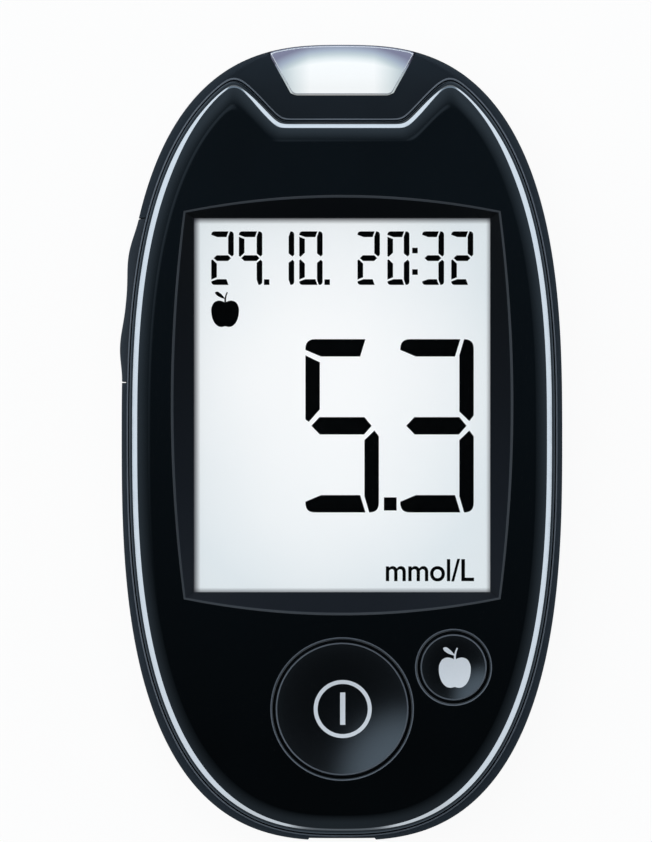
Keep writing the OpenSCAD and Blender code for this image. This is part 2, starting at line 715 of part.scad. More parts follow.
module strip_contacts() {
    y0 = connector_y - connector_l;
    color([0.9, 0.75, 0.35]) for (i = [-2 : 2]) translate([i * 1.4 - 0.25, 0, 0])
        rotate([90, 0, 90]) linear_extrude(0.5)
            polygon([[y0 - 1.6, board_z], [y0 - 0.2, board_z - 0.15], [y0 - 0.2, slot_high + 0.03],
                     [y0 + 1.6, slot_high + 0.03], [y0 + 5.4, slot_high - 0.3],
                     [y0 + 6.6, slot_high + 0.03], [y0 + 6.6, slot_high + 0.25],
                     [y0 + 5.4, slot_high - 0.1], [y0 + 1.7, slot_high + 0.25],
                     [y0 - 0.02, slot_high + 0.25], [y0 - 0.02, board_z]]);
}

// Lights on the underside of the board, one each side of the strip connector
light_x = connector_w / 2 + 1.6;
light_y = floor_y + girth_y - wall - 1.4;
module port_light() {
    color([1, 1, 0.95]) for (s = [-1, 1])
        box(s * light_x - 0.8, light_y - 0.8, board_z - 0.9, s * light_x + 0.8, light_y + 0.4, board_z);
}

chip_x = bay_half + 6.55;
chip_y = 0.046 * body_l;
chip_w = 7.2;
leg_pitch = 0.66;
module main_chip() {
    color([0.06, 0.06, 0.07]) translate([chip_x - chip_w / 2, chip_y - chip_w / 2, board_z - 1.3])
        cube([chip_w, chip_w, 1.2]);
    color([0.8, 0.8, 0.8]) for (i = [-4.5 : 4.5], s = [-1, 1])
        translate([chip_x + s * (chip_w / 2 + 0.35) - 0.45, chip_y + i * leg_pitch - 0.125, board_z - 0.7])
            cube([0.9, 0.25, 0.7]);
}

// Rows of small parts: x and y of the first one, their number, and the side they run to
chip_rows = [[bay_half + 3.15, 0.1 * body_l, 5, 1], [-bay_half - 5.95, -0.08 * body_l, 4, -1],
    [connector_w / 2 + 2.1, body_l / 2 - 17, 4, 1]];
chip_pitch = 1.5;
module chip_parts() {
    color([0.62, 0.52, 0.38]) for (row = chip_rows, i = [0 : row[2] - 1])
        translate([row[0] + row[3] * i * chip_pitch, row[1], board_z - 0.6]) cube([0.8, 1.6, 0.6]);
}

module crystal() {
    color([0.78, 0.78, 0.76]) translate([body_w / 2 - 10.7, -body_l / 10, board_z - 1.5]) {
        for (s = [-1, 1]) translate([0, s * 2.4, 0]) cylinder(h = 1.5, d = 3);
        translate([-1.5, -2.4, 0]) cube([3, 4.8, 1.5]);
    }
}

buzzer_x = body_w / 2 - 10.7;
buzzer_y = 0.205 * body_l;
module buzzer() {
    color([0.12, 0.12, 0.12]) translate([buzzer_x, buzzer_y, board_z - 2.4]) difference() {
        cylinder(h = 2.4, d = 8.8);
        translate([0, 0, -1]) cylinder(h = 1.8, d = 2);
    }
}

module usb_socket() {
    t = 0.3;
    y1 = usb_mouth + usb_l;
    color([0.78, 0.78, 0.8]) difference() {
        translate([0, y1, 0]) rotate([90, 0, 0]) linear_extrude(usb_l) usb_profile(0);
        translate([0, y1 - t, 0]) rotate([90, 0, 0]) linear_extrude(usb_l) usb_profile(t);
    }
}

module usb_profile(t) {
    w = usb_w / 2 - t;
    low = usb_z + t;
    high = board_z - t;
    polygon([[-w, high], [w, high], [w, low + 1.3], [w - 0.6, low + 0.7], [w - 0.6, low],
             [-w + 0.6, low], [-w + 0.6, low + 0.7], [-w, low + 1.3]]);
}

module usb_tongue() {
    y1 = usb_mouth + usb_l - 0.3;
    color([0.05, 0.05, 0.05]) {
        box(-usb_w / 2 + 1.2, usb_mouth + 1.2, board_z - 1.6, usb_w / 2 - 1.2, y1, board_z - 0.8);
        box(-usb_w / 2 + 1, y1 - 2.5, usb_z + 0.4, usb_w / 2 - 1, y1, board_z - 0.4);
    }
}

module usb_pins() {
    y1 = usb_mouth + usb_l - 2.8;
    color([0.9, 0.75, 0.35]) for (i = [-2 : 2])
        box(i * 0.8 - 0.2, usb_mouth + 1.6, board_z - 1.75, i * 0.8 + 0.2, y1, board_z - 1.6);
}

// --------------------------------------------------------------- cell supply

// Cell along Y with its cap towards +Y, starting at the origin
module cell() {
    r = cell_d / 2;
    rotate([-90, 0, 0]) rotate_extrude($fn = 64)
        polygon([[0, 0.2], [r * 0.5, 0.2], [r * 0.6, 0], [r - 0.4, 0], [r, 0.4], [r, cell_l - 1.7],
                 [r - 0.5, cell_l - 1.2], [r - 1.2, cell_l - 1.3], [1.9, cell_l - 1], [1.9, cell_l - 0.2],
                 [1.7, cell_l], [0, cell_l]]);
}

// Each side's direction: the left cell points up, the right one down
cell_from = -bay_low + 0.3 + spring_l + 0.1;
cell_to = bay_high - 0.3 - spring_l - 0.1;

module battery_left() {
    color([0.75, 0.55, 0.25]) translate([-cell_x, cell_from, cell_z]) cell();
}

module battery_right() {
    color([0.75, 0.55, 0.25]) translate([cell_x, cell_to, cell_z]) mirror([0, 1, 0]) cell();
}

// Tapered coil spring along +Y from the origin
module coil_spring() {
    turns = 3;
    side_n = 6;
    steps = turns * 14;
    r_low = 3.2;
    r_high = 1.9;
    w = wire_d / 2;
    function mid(i) = let (t = i / steps, r = r_low + (r_high - r_low) * t, a = 360 * turns * t)
        [r * cos(a), w + (spring_l - 2 * w) * t, r * sin(a)];
    function ring(i) = let (m = mid(i), a = 360 * turns * i / steps) [for (k = [0 : side_n - 1])
        let (b = -360 * k / side_n)
        [m[0] + w * cos(b) * cos(a), m[1] + w * sin(b), m[2] + w * cos(b) * sin(a)]];
    loft([for (i = [0 : steps]) ring(i)], mid(0), mid(steps));
}

module battery_springs() {
    color([0.82, 0.83, 0.85]) {
        translate([-cell_x, -bay_low + 0.3, cell_z]) coil_spring();
        translate([cell_x, bay_high - 0.3, cell_z]) mirror([0, 1, 0]) coil_spring();
    }
}

// Flat contact plate along the bay's end wall, with a dimple for the cell's cap
module contact_plate(dimple) {
    box(-cell_x - 3.6, 0, cell_z - 4, cell_x + 3.6, 0.3, cell_z + 4);
    translate([dimple, 0.3 - eps, cell_z]) rotate([-90, 0, 0]) cylinder(h = 0.9, r1 = 2.4, r2 = 1.4);
}

module battery_plates() {
    color([0.8, 0.81, 0.83]) {
        translate([0, -bay_low, 0]) contact_plate(cell_x);
        translate([0, bay_high, 0]) mirror([0, 1, 0]) contact_plate(-cell_x);
    }
}

module battery_cover() {
    grip_y = -bay_low - 3;
    color([0.14, 0.16, 0.19]) {
        difference() {
            intersection() {
                belly();
                translate([0, 0, -1]) linear_extrude(1 + cover_t) cover_plan(0);
            }
            for (i = [0 : 4]) box(-6 + abs(i - 2), grip_y - i * 1.5, -1, 6 - abs(i - 2),
                grip_y - i * 1.5 + 0.8, 0.35);
        }
        box(-0.4, -bay_low + 6, cover_t - eps, 0.4, bay_high - 4, cover_t + 2);
        for (s = [-1, 1], y = hooks) {
            box(s > 0 ? bay_half - 0.9 : -bay_half + 0.1, y, cover_t - eps,
                s > 0 ? bay_half - 0.1 : -bay_half + 0.9, y + hook_l, hook_z + hook_h);
            box(s > 0 ? bay_half - 0.5 : -hook_out, y, hook_z, s > 0 ? hook_out : -bay_half + 0.5,
                y + hook_l, hook_z + hook_h);
        }
    }
}

module housing_screws() {
    color([0.7, 0.71, 0.73]) for (p = screws) translate([p[0], p[1], head_z]) {
        cylinder(h = ceiling_z - head_z - 1.4, d = screw_d);
        difference() {
            translate([0, 0, -head_h]) cylinder(h = head_h, d = head_d);
            for (a = [0, 90]) rotate([0, 0, a])
                box(-head_d * 0.3, -0.25, -head_h - 1, head_d * 0.3, 0.25, -head_h + 0.7);
        }
    }
}

front_shell();
rear_shell();
port_guide();
display_window();
lcd_glass();
lcd_frame();
light_guide();
contact_strip();
main_board();
snap_domes();
keypad_mat();
power_button();
marker_button();
side_rocker();
rocker_pin();
side_switches();
strip_connector();
strip_contacts();
port_light();
main_chip();
chip_parts();
crystal();
buzzer();
usb_socket();
usb_tongue();
usb_pins();
battery_left();
battery_right();
battery_springs();
battery_plates();
battery_cover();
housing_screws();
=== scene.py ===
"""Blood glucose meter: the looks of every piece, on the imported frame.

Lengths are in mm, as in part.scad, until a mesh becomes a piece."""
from functools import reduce
from math import acos, asin, atan2, cos, degrees, hypot, pi, radians, sin, sqrt, tan

import bpy
import numpy as np
from mathutils import Matrix, Vector
from mathutils.geometry import delaunay_2d_cdt

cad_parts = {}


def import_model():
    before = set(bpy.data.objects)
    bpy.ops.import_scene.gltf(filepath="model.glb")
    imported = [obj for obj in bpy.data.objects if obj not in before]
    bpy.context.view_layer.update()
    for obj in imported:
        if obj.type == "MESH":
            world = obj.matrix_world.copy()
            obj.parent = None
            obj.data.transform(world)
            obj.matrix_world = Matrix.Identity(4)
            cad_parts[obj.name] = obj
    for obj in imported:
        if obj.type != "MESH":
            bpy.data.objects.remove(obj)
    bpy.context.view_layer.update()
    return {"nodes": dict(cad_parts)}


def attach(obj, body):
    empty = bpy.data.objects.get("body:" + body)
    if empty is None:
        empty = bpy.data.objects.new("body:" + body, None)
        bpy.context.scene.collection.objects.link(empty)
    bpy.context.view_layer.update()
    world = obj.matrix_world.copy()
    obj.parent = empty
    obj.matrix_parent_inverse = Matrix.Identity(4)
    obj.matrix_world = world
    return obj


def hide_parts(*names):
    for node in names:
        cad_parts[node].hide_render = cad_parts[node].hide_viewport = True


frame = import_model()
nodes = frame["nodes"]

MM = 0.001

# ---------------------------------------------------------------- sizes, as in the solids
# housing
BODY_L, BODY_W, BODY_H = 100.0, 55.4, 20.5
SEAM_Z, GIRTH_Z, GIRTH_Y = 16.8, 10.4, 0.8
OUTLINE_N, SEAM_N = 2.75, 2.64
SEAM_INSET, BACK_INSET = 0.7, 5.5
WALL, RIM_W, FACE_T, CROWN = 1.6, 4.0, 2.2, 0.6
CEILING_Z = BODY_H - FACE_T
GAP, SLACK = 0.2, 0.2

# notch at the tip, and the nose in it. FLOOR_Y is measured from the outline's centre, and FAR
# lies past every edge.
NOTCH_DEPTH, NOTCH_HALF, NOTCH_ANGLE = 9.4, 7.6, 47.6
FLOOR_Y = BODY_L / 2 - NOTCH_DEPTH - GIRTH_Y
FLANK = tan(radians(NOTCH_ANGLE))
NOSE_DROP, NOSE_Y = 2.2, BODY_L / 2 - 5.5
FAR = 200.0

# display: window and recess, whose sides bulge from their ends to their middles
VIEW_W, VIEW_H, VIEW_Y = 37.0, 46.7, 4.7
VIEW_HALF = (VIEW_W / 2, VIEW_H / 2)
RECESS_END, RECESS_MID = (19.6, 24.05), (21.2, 26.05)
RECESS_EDGE = 0.16
LIP_Z = CEILING_Z + 0.8
INK_Z = 17.1

# buttons, each as x, y and diameter
POWER = (0.0, -33.2, 16.7)
MARKER = (13.9, -28.0, 8.4)
BUTTONS = (POWER, MARKER)
RING_OUT, HOLE_EDGE = 0.4, 0.4
CAP_DROP, CAP_EDGE, DISH_SHARE = 0.12, 0.25, 0.05
FLANGE_W, FLANGE_H, FLANGE_GAP = 0.9, 0.75, 0.1
STEM_SHARE = 0.62

# rim: its height and foot, the fine line at the seam, the skirt inside it, and how the width
# of the polished bevel changes, in degrees from the tip or the lower end and in shares
RIM_H = BODY_H - CROWN - SEAM_Z
RIM_FOOT, EDGE_IN = 1.2, 0.06
SKIRT, SKIRT_IN = 1.2, 0.9
BEVEL_TURN, BEVEL_END, TIP_TURN, TIP_END, NOTCH_SHARE = 26.0, 0.36, 17.0, 0.2, 0.76

# battery bay and cover
CELL_D, CELL_L, BAY_LOW, SPRING_L, COVER_T, COVER_SLIDE = 10.5, 44.5, 33.5, 3.4, 1.2, 5.0
CELL_Z = COVER_T + SLACK + CELL_D / 2
ROOF_Z = CELL_Z + CELL_D / 2 + SLACK
TRAY_Z = ROOF_Z + 0.8
BOARD_Z = TRAY_Z + SLACK
BAY_L = CELL_L + SPRING_L + 1.6
BAY_HIGH = BAY_L - BAY_LOW
CELL_X = CELL_D / 2 + 0.35
BAY_HALF = CELL_X + CELL_D / 2 + SLACK
COVER_HALF, COVER_HIGH, COVER_R = BAY_HALF + 2.2, BAY_HIGH + 2.6, 2.5
LEDGE_Z, LEDGE_T = COVER_T + 0.05, 1.4
HOOK_L, HOOK_Z, HOOK_H, HOOK_OUT = 4.0, LEDGE_Z + LEDGE_T + 0.1, 1.0, BAY_HALF + 0.8
HOOKS = [BAY_HIGH - 7 - i * (BAY_L - 14) / 2.2 for i in range(3)]

# other openings of the rear half, and its edges
SCREWS = [(s * x, y) for s in (-1, 1) for x, y in ((16.2, -36.5), (17.5, 33.5))]
SCREW_D, HEAD_D, HEAD_Z = 2.0, 3.6, 3.0
SLOT_W, SLOT_HIGH = 8.2, BOARD_Z - 0.6
SLOT_LOW = SLOT_HIGH - 1.0
PORT_Y, PORT_IN_W, PORT_OUT_W, PORT_FLARE, PORT_R = BODY_L / 2 - 6.5, 12.4, 18.3, 5.0, 1.1
PORT_TOP_Z, PORT_IN = 14.4, 0.03
USB_W, USB_H = 7.7, 3.9
USB_Z = BOARD_Z - USB_H
SCOOP_W, SCOOP_DEPTH, SCOOP_LEAN, SCOOP_H = 8.2, 0.5, 1.0, 5.2
BUZZER, BUZZER_RING = (17.0, 20.5), 2.2
TOP_EDGE, SHARP_ANGLE = 0.2, 32

# side rocker
ROCKER_L, ROCKER_Y, ROCKER_LOW, ROCKER_BUMP = 20.3, 17.85, 6.6, 0.38
ROCKER_HIGH = SEAM_Z - SLACK
ROCKER_LONGER, ROCKER_EASE = 0.14, 0.14
EAR_LOW, EAR_HIGH, EAR_R, PIN_HOLE_R = ROCKER_LOW + 1.8, BOARD_Z - 1.3, 1.5, 0.65

# studio: strengths of light, colours, and places in metres
BAND_LIGHT, BAND_SEEN, FILL_ROUND, FILL_ABOVE, PATCH = 3.6, 1.0, 0.42, 0.004, 0.29
FLOOR_HALF, FLOOR_SHADE, FLOOR_GLOSSY = 1.6, 0.07, (0.18, 0.22, 0.26)
PANEL_PLACE, PANEL_AIM, PANEL_SIZE, PANEL_WATTS = (-0.25, 0.3, 1.5), (0, 0, 0.01), 1.4, 14.0
PHOTO_H, MM_PER_PIXEL = 842, 0.12468
CAMERA_X, CAMERA_Y, CAMERA_UP, SENSOR = -0.002007, 0.002722, 1.18, 36.0
BLACK, WHITE = (0.0, 0.0, 0.0), (1.0, 1.0, 1.0)


# ---------------------------------------------------------------- outline of the housing
def oval(a, inset, n):
    """Distance of the outline from the centre in direction a."""
    reach = BODY_L / 2 - inset - (GIRTH_Y if sin(a) > 0 else -GIRTH_Y)
    half = BODY_W / 2 - inset
    return (abs(cos(a) / half) ** n + abs(sin(a) / reach) ** n) ** (-1 / n)


def soft_min(p, q, k):
    """The smaller of two lengths, eased where they are close."""
    low, high = min(p, q), max(p, q)
    return low * (1 + (low / high) ** k) ** (-1 / k)


def soft_max(p, q, k):
    """The larger of two lengths, eased where they are close."""
    low, high = min(p, q), max(p, q)
    return high * (1 + (low / high) ** k) ** (1 / k)


def notch(a, inset):
    """Edge of the notch at the tip, as a distance from the centre in direction a."""
    up, side = sin(a), abs(cos(a))
    if up < 0.5:
        return FAR
    rise = up - FLANK * side
    flank_y = FLOOR_Y - FLANK * NOTCH_HALF - inset * sqrt(1 + FLANK * FLANK)
    flank_r = min(FAR, flank_y / rise) if rise > 0.01 else FAR
    return soft_max((FLOOR_Y - inset) / up, flank_r, 90)


def face_r(a, inset):
    """Edge of the front half: the outline at the seam, less the notch."""
    return soft_min(oval(a, SEAM_INSET + inset, SEAM_N), notch(a, inset), 32)


def polar(r, a):
    """Point at a distance r from the outline's centre in direction a."""
    return r * cos(a), GIRTH_Y + r * sin(a)


def angle_of(x, y):
    """Direction of a point from the outline's centre."""
    return atan2(y - GIRTH_Y, x)


def in_rim(x, y, inset):
    """Whether a point lies inside the front half's edge, drawn in by inset."""
    return hypot(x, y - GIRTH_Y) < face_r(angle_of(x, y), inset)


def face_z(x, y):
    """Height of the domed face."""
    return BODY_H - CROWN * ((2 * x / BODY_W) ** 2 + (2 * (y - GIRTH_Y) / BODY_L) ** 2)


def face_normal(x, y):
    slope_x, slope_y = 8 * CROWN * x / BODY_W ** 2, 8 * CROWN * (y - GIRTH_Y) / BODY_L ** 2
    return Vector((slope_x, slope_y, 1)).normalized()


def belly_inset(z):
    """How far the rear half draws in at a height."""
    if z < GIRTH_Z:
        return BACK_INSET * (1 - sqrt(max(0.0, 1 - ((GIRTH_Z - z) / GIRTH_Z) ** 2)))
    return SEAM_INSET * ((z - GIRTH_Z) / (SEAM_Z - GIRTH_Z)) ** 2


def belly_n(z):
    """Exponent of the rear half's outline at a height."""
    rise = max(0.0, (z - GIRTH_Z) / (SEAM_Z - GIRTH_Z))
    return OUTLINE_N + (SEAM_N - OUTLINE_N) * rise ** 2


def belly_r(a, z, inset=0.0):
    """Edge of the rear half at a height."""
    return oval(a, belly_inset(z) + inset, belly_n(z))


def nose_z(y):
    """Height of the rear half's top, which rolls down at the tip."""
    return SEAM_Z - NOSE_DROP * (max(0.0, y - NOSE_Y) / (BODY_L / 2 - NOSE_Y)) ** 2


def side_x(y, z):
    """Half width of the rear half at a place along it."""
    inset, n = belly_inset(z), belly_n(z)
    reach = (BODY_L / 2 - GIRTH_Y if y > GIRTH_Y else BODY_L / 2 + GIRTH_Y) - inset
    return (BODY_W / 2 - inset) * (1 - (abs(y - GIRTH_Y) / reach) ** n) ** (1 / n)


PIN_X = -(side_x(ROCKER_Y, GIRTH_Z) - WALL - 1.6)


def directions(step, fine):
    """Directions round the outline in radians, fine across the notch."""
    sides = [-90 + step * i for i in range(int(150 / step))]
    tip = [60 + fine * i for i in range(int(60 / fine))]
    other = [120 + step * i for i in range(int(150 / step))]
    return [radians(a) for a in sides + tip + other]


EVEN = [radians(-90 + 0.75 * i) for i in range(480)]


# ---------------------------------------------------------------- flat outlines
def part_way(p, q, share):
    return tuple(a + (b - a) * share for a, b in zip(p, q))


def bezier(p, q, r, steps):
    """Points of a quadratic curve from p to r."""
    return [tuple((1 - t) ** 2 * a + 2 * t * (1 - t) * b + t * t * c for a, b, c in zip(p, q, r))
            for t in (i / steps for i in range(steps + 1))]


def ease(value, start, end, low, high):
    """Smooth step from low at start to high at end."""
    t = max(0.0, min(1.0, (value - start) / (end - start)))
    return low + (high - low) * t * t * (3 - 2 * t)


def circle(x, y, r, count=128):
    return [(x + r * cos(2 * pi * i / count), y + r * sin(2 * pi * i / count))
            for i in range(count)]


def square(x0, y0, x1, y1):
    return [(x0, y0), (x1, y0), (x1, y1), (x0, y1)]


def round_rect(x0, y0, x1, y1, r, count=8):
    pts = []
    for cx, cy, a in ((x1 - r, y1 - r, 0), (x0 + r, y1 - r, 90), (x0 + r, y0 + r, 180),
                      (x1 - r, y0 + r, 270)):
        for i in range(count + 1):
            t = radians(a + 90 * i / count)
            pts.append((cx + r * cos(t), cy + r * sin(t)))
    return pts


def anticlockwise(loop):
    area = sum(a[0] * b[1] - b[0] * a[1] for a, b in zip(loop, loop[1:] + loop[:1]))
    return loop[::-1] if area < 0 else loop


def within(loop):
    """Test for points inside an outline."""
    def test(x, y):
        hit = False
        for (ax, ay), (bx, by) in zip(loop, loop[1:] + loop[:1]):
            if (ay > y) != (by > y) and x < ax + (y - ay) * (bx - ax) / (by - ay):
                hit = not hit
        return hit
    return test


def smooth_loop(points):
    """Closed curve through points."""
    out, n = [], len(points)
    for i in range(n):
        around = [points[(i + k) % n] for k in (-1, 0, 1, 2)]
        for t in (k / 5 for k in range(5)):
            out.append(tuple(0.5 * (2 * b + (c - a) * t + (2 * a - 5 * b + 4 * c - e) * t * t
                                    + (3 * b - a - 3 * c + e) * t ** 3)
                             for a, b, c, e in zip(*around)))
    return out


# ---------------------------------------------------------------- mesh building
def new_object(name, data):
    """Puts a mesh, curve, lamp or camera into the scene."""
    made = bpy.data.objects.new(name, data)
    bpy.context.scene.collection.objects.link(made)
    return made


def new_mesh(name, verts, faces):
    mesh = bpy.data.meshes.new(name)
    mesh.from_pydata(verts, [], faces)
    return mesh


def evaluated(piece):
    """The mesh that an object has with its modifiers, or that a curve makes."""
    depsgraph = bpy.context.evaluated_depsgraph_get()
    return bpy.data.meshes.new_from_object(piece.evaluated_get(depsgraph))


def coat(mesh, material):
    """Gives a mesh one material."""
    mesh.materials.clear()
    mesh.materials.append(material)
    mesh.polygons.foreach_set("material_index", [0] * len(mesh.polygons))


class Skin:
    """A piece's mesh, gathered from patches in mm that each carry their own normals."""

    def __init__(self):
        self.verts, self.normals, self.faces, self.slots = [], [], [], []

    def add(self, verts, normals, faces, slot=0):
        first = len(self.verts)
        self.verts += [tuple(v) for v in verts]
        self.normals += [tuple(n) for n in normals]
        self.faces += [tuple(first + i for i in f) for f in faces]
        self.slots += [slot] * len(faces)

    def grid(self, rows, closed=True, slot=0, flip=False):
        """Quads between rows of points. A row runs anticlockwise round its axis, and the rows
        run up an outer wall, in over a top, and down a hole."""
        p = np.array(rows, dtype=float)
        m, n = p.shape[:2]
        if closed:
            along = np.roll(p, -1, axis=1) - np.roll(p, 1, axis=1)
        else:
            along = np.gradient(p, axis=1)
        normal = np.cross(along, np.gradient(p, axis=0))
        size = np.linalg.norm(normal, axis=2, keepdims=True)
        normal = np.divide(normal, size, out=np.zeros_like(normal), where=size > 1e-12)
        faces = []
        for j in range(m - 1):
            for i in range(n if closed else n - 1):
                k = (i + 1) % n
                quad = (j * n + i, j * n + k, (j + 1) * n + k, (j + 1) * n + i)
                faces.append(quad[::-1] if flip else quad)
        self.add(p.reshape(-1, 3), (-normal if flip else normal).reshape(-1, 3), faces, slot)

    def turned(self, centre, section, slot=0, flip=False, count=128):
        """Rings round an upright axis through (radius, height) points. A height is a number
        or a function of x and y."""
        self.grid([[(x, y, z(x, y) if callable(z) else z) for x, y in circle(*centre, r, count)]
                   for r, z in section], slot=slot, flip=flip)

    def cap(self, loops, spacing, height, normal, inside, flip=False):
        """Triangles over a region bounded by loops of (x, y), draped on a height function."""
        pts, edges = [], []
        for loop in loops:
            first = len(pts)
            pts += [Vector(q[:2]) for q in loop]
            edges += [(first + i, first + (i + 1) % len(loop)) for i in range(len(loop))]
        rim = np.array([(q.x, q.y) for q in pts])
        lo, hi = rim.min(axis=0), rim.max(axis=0)
        for x in np.arange(lo[0] + spacing / 2, hi[0], spacing):
            for y in np.arange(lo[1] + spacing / 2, hi[1], spacing):
                near = np.min(np.hypot(rim[:, 0] - x, rim[:, 1] - y))
                if near > spacing * 0.4 and inside(x, y):
                    pts.append(Vector((x, y)))
        verts, _, found = delaunay_2d_cdt(pts, edges, [], 0, 1e-6)[:3]
        faces = []
        for f in found:
            mid = sum((verts[i] for i in f), Vector((0, 0))) / len(f)
            if inside(mid.x, mid.y):
                a, b, c = (verts[i] for i in f[:3])
                turn = (b - a).cross(c - a) > 0
                faces.append(tuple(f) if turn != flip else tuple(reversed(f)))
        side = -1 if flip else 1
        self.add([(v.x, v.y, height(v.x, v.y)) for v in verts],
                 [side * Vector(normal(v.x, v.y)) for v in verts], faces)

    def flat(self, loops, spacing, z, inside, flip=False):
        """A level cap."""
        self.cap(loops, spacing, lambda x, y: z, lambda x, y: (0, 0, 1), inside, flip)

    def piece(self, name, body, materials, slot, replaces=()):
        mesh = new_mesh(name, [tuple(c * MM for c in v) for v in self.verts], self.faces)
        for material in materials:
            mesh.materials.append(material)
        mesh.polygons.foreach_set("material_index", self.slots)
        mesh.polygons.foreach_set("use_smooth", [True] * len(mesh.polygons))
        mesh.normals_split_custom_set_from_vertices(self.normals)
        placed(mesh, name, body, replaces)


def placed(mesh, name, body, replaces=()):
    """Makes the object of a mesh and ties it to its body."""
    piece = new_object(name, mesh)
    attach(piece, body)
    if replaces:
        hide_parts(*replaces)


def loft(rings, low, high):
    """Closed mesh through rings that run anticlockwise, from the lowest up, with fans at its
    ends. This and the next three are in mm, for carving."""
    n, m = len(rings[0]), len(rings)
    pairs = [(i, (i + 1) % n) for i in range(n)]
    faces = [(j * n + i, j * n + k, (j + 1) * n + k, (j + 1) * n + i)
             for j in range(m - 1) for i, k in pairs]
    for i, k in pairs:
        faces += [(n * m, k, i), (n * m + 1, (m - 1) * n + i, (m - 1) * n + k)]
    return new_mesh("raw", [p for ring in rings for p in ring] + [low, high], faces)


def disc(x, y, z0, z1, r, count=48):
    """Upright cylinder."""
    rings = [[(*p, z) for p in circle(x, y, r, count)] for z in (z0, z1)]
    return loft(rings, (x, y, z0), (x, y, z1))


def prism(plan, z0, z1):
    """Upright prism over an anticlockwise outline."""
    n = len(plan)
    faces = [(i, (i + 1) % n, n + (i + 1) % n, n + i) for i in range(n)]
    faces += [tuple(range(n))[::-1], tuple(range(n, 2 * n))]
    return new_mesh("raw", [(x, y, z) for z in (z0, z1) for x, y in plan], faces)


def box(x0, y0, z0, x1, y1, z1):
    """Box whose two x may come in either order."""
    return prism(square(min(x0, x1), y0, max(x0, x1), y1), z0, z1)


def carved(base, steps):
    """Applies ("+" or "-" or "&", mesh) steps to a closed mesh and returns the result."""
    body = new_object("carving", base)
    for sign, tool in steps:
        cutter = new_object("cutter", tool)
        mod = body.modifiers.new("cut", "BOOLEAN")
        mod.operation = {"+": "UNION", "-": "DIFFERENCE", "&": "INTERSECT"}[sign]
        mod.solver = "MANIFOLD"
        mod.object = cutter
        body.data = evaluated(body)
        body.modifiers.clear()
        bpy.data.objects.remove(cutter)
    mesh = body.data
    bpy.data.objects.remove(body)
    return mesh


# ---------------------------------------------------------------- materials
class Nodes:
    """The node tree of a material or of the world."""

    def __init__(self, tree):
        self.tree = tree

    def feed(self, socket, value):
        """Gives a socket a number, a colour or vector, an output, or a node's first output."""
        if isinstance(value, (int, float)):
            socket.default_value = value
        elif isinstance(value, tuple):
            socket.default_value = (*value, 1) if socket.type == "RGBA" else value
        else:
            source = value.outputs[0] if hasattr(value, "outputs") else value
            self.tree.links.new(source, socket)

    def node(self, kind, *sources, **values):
        """Makes a node. Sources go to its sockets in order, values to a socket or setting."""
        made = self.tree.nodes.new("ShaderNode" + kind)
        for key, value in values.items():
            name = key.replace("_", " ")
            if name in made.inputs:
                self.feed(made.inputs[name], value)
            else:
                setattr(made, key, value)
        for socket, source in zip(made.inputs, sources):
            self.feed(socket, source)
        return made

    def math(self, operation, *values):
        return self.node("Math", *values, operation=operation).outputs[0]

    def times(self, *values):
        return reduce(lambda a, b: self.math("MULTIPLY", a, b), values)

    def plus(self, *values):
        return reduce(lambda a, b: self.math("ADD", a, b), values)

    def spread(self, source, low, high, start=0.0, end=1.0, kind="LINEAR"):
        """Maps a number from start..end to low..high."""
        return self.node("MapRange", source, interpolation_type=kind, From_Min=start,
                         From_Max=end, To_Min=low, To_Max=high).outputs[0]

    def smooth(self, source, start, end, low=0.0, high=1.0):
        """Smooth step from low at start to high at end."""
        return self.spread(source, low, high, start, end, "SMOOTHSTEP")

    def blend(self, share, low, high):
        """Mixes two colours by a share."""
        made = self.node("Mix", share, data_type="RGBA")
        self.feed(made.inputs[6], low)
        self.feed(made.inputs[7], high)
        return made.outputs[2]


class Paint(Nodes):
    """A material built from nodes, around one Principled shader."""

    def __init__(self, name, colour, roughness, **constants):
        self.material = bpy.data.materials.new(name)
        self.material.use_nodes = True
        super().__init__(self.material.node_tree)
        self.shader = self.tree.nodes["Principled BSDF"]
        self.place = self.node("TexCoord").outputs["Object"]
        self.set(Base_Color=colour, Roughness=roughness, **constants)

    def set(self, **values):
        """Feeds the Principled shader's sockets."""
        for key, value in values.items():
            self.feed(self.shader.inputs[key.replace("_", " ")], value)

    def show(self, shader):
        """Puts another shader on the surface."""
        self.feed(self.tree.nodes["Material Output"].inputs["Surface"], shader)

    def where(self, stretch=(1, 1, 1)):
        """Coordinates on the object, in mm."""
        return self.node("Mapping", self.place, Scale=tuple(s / MM for s in stretch))

    def xy(self):
        return self.node("SeparateXYZ", self.where()).outputs[:2]

    def noise(self, size, detail=2.0, stretch=(1, 1, 1)):
        """Noise whose grains are about size mm."""
        made = self.node("TexNoise", self.where(stretch), Scale=1 / size, Detail=detail)
        return made.outputs[0]

    def finish(self, height, depth):
        """Adds the relief of a height map, depth mm deep, and returns the material."""
        self.set(Normal=self.node("Bump", Height=height, Distance=depth * MM, Strength=1.0))
        return self.material


def shades(colour, dark, pale):
    """A darker and a paler shade of a colour."""
    return [tuple(min(1.0, c * share) for c in colour) for share in (dark, pale)]


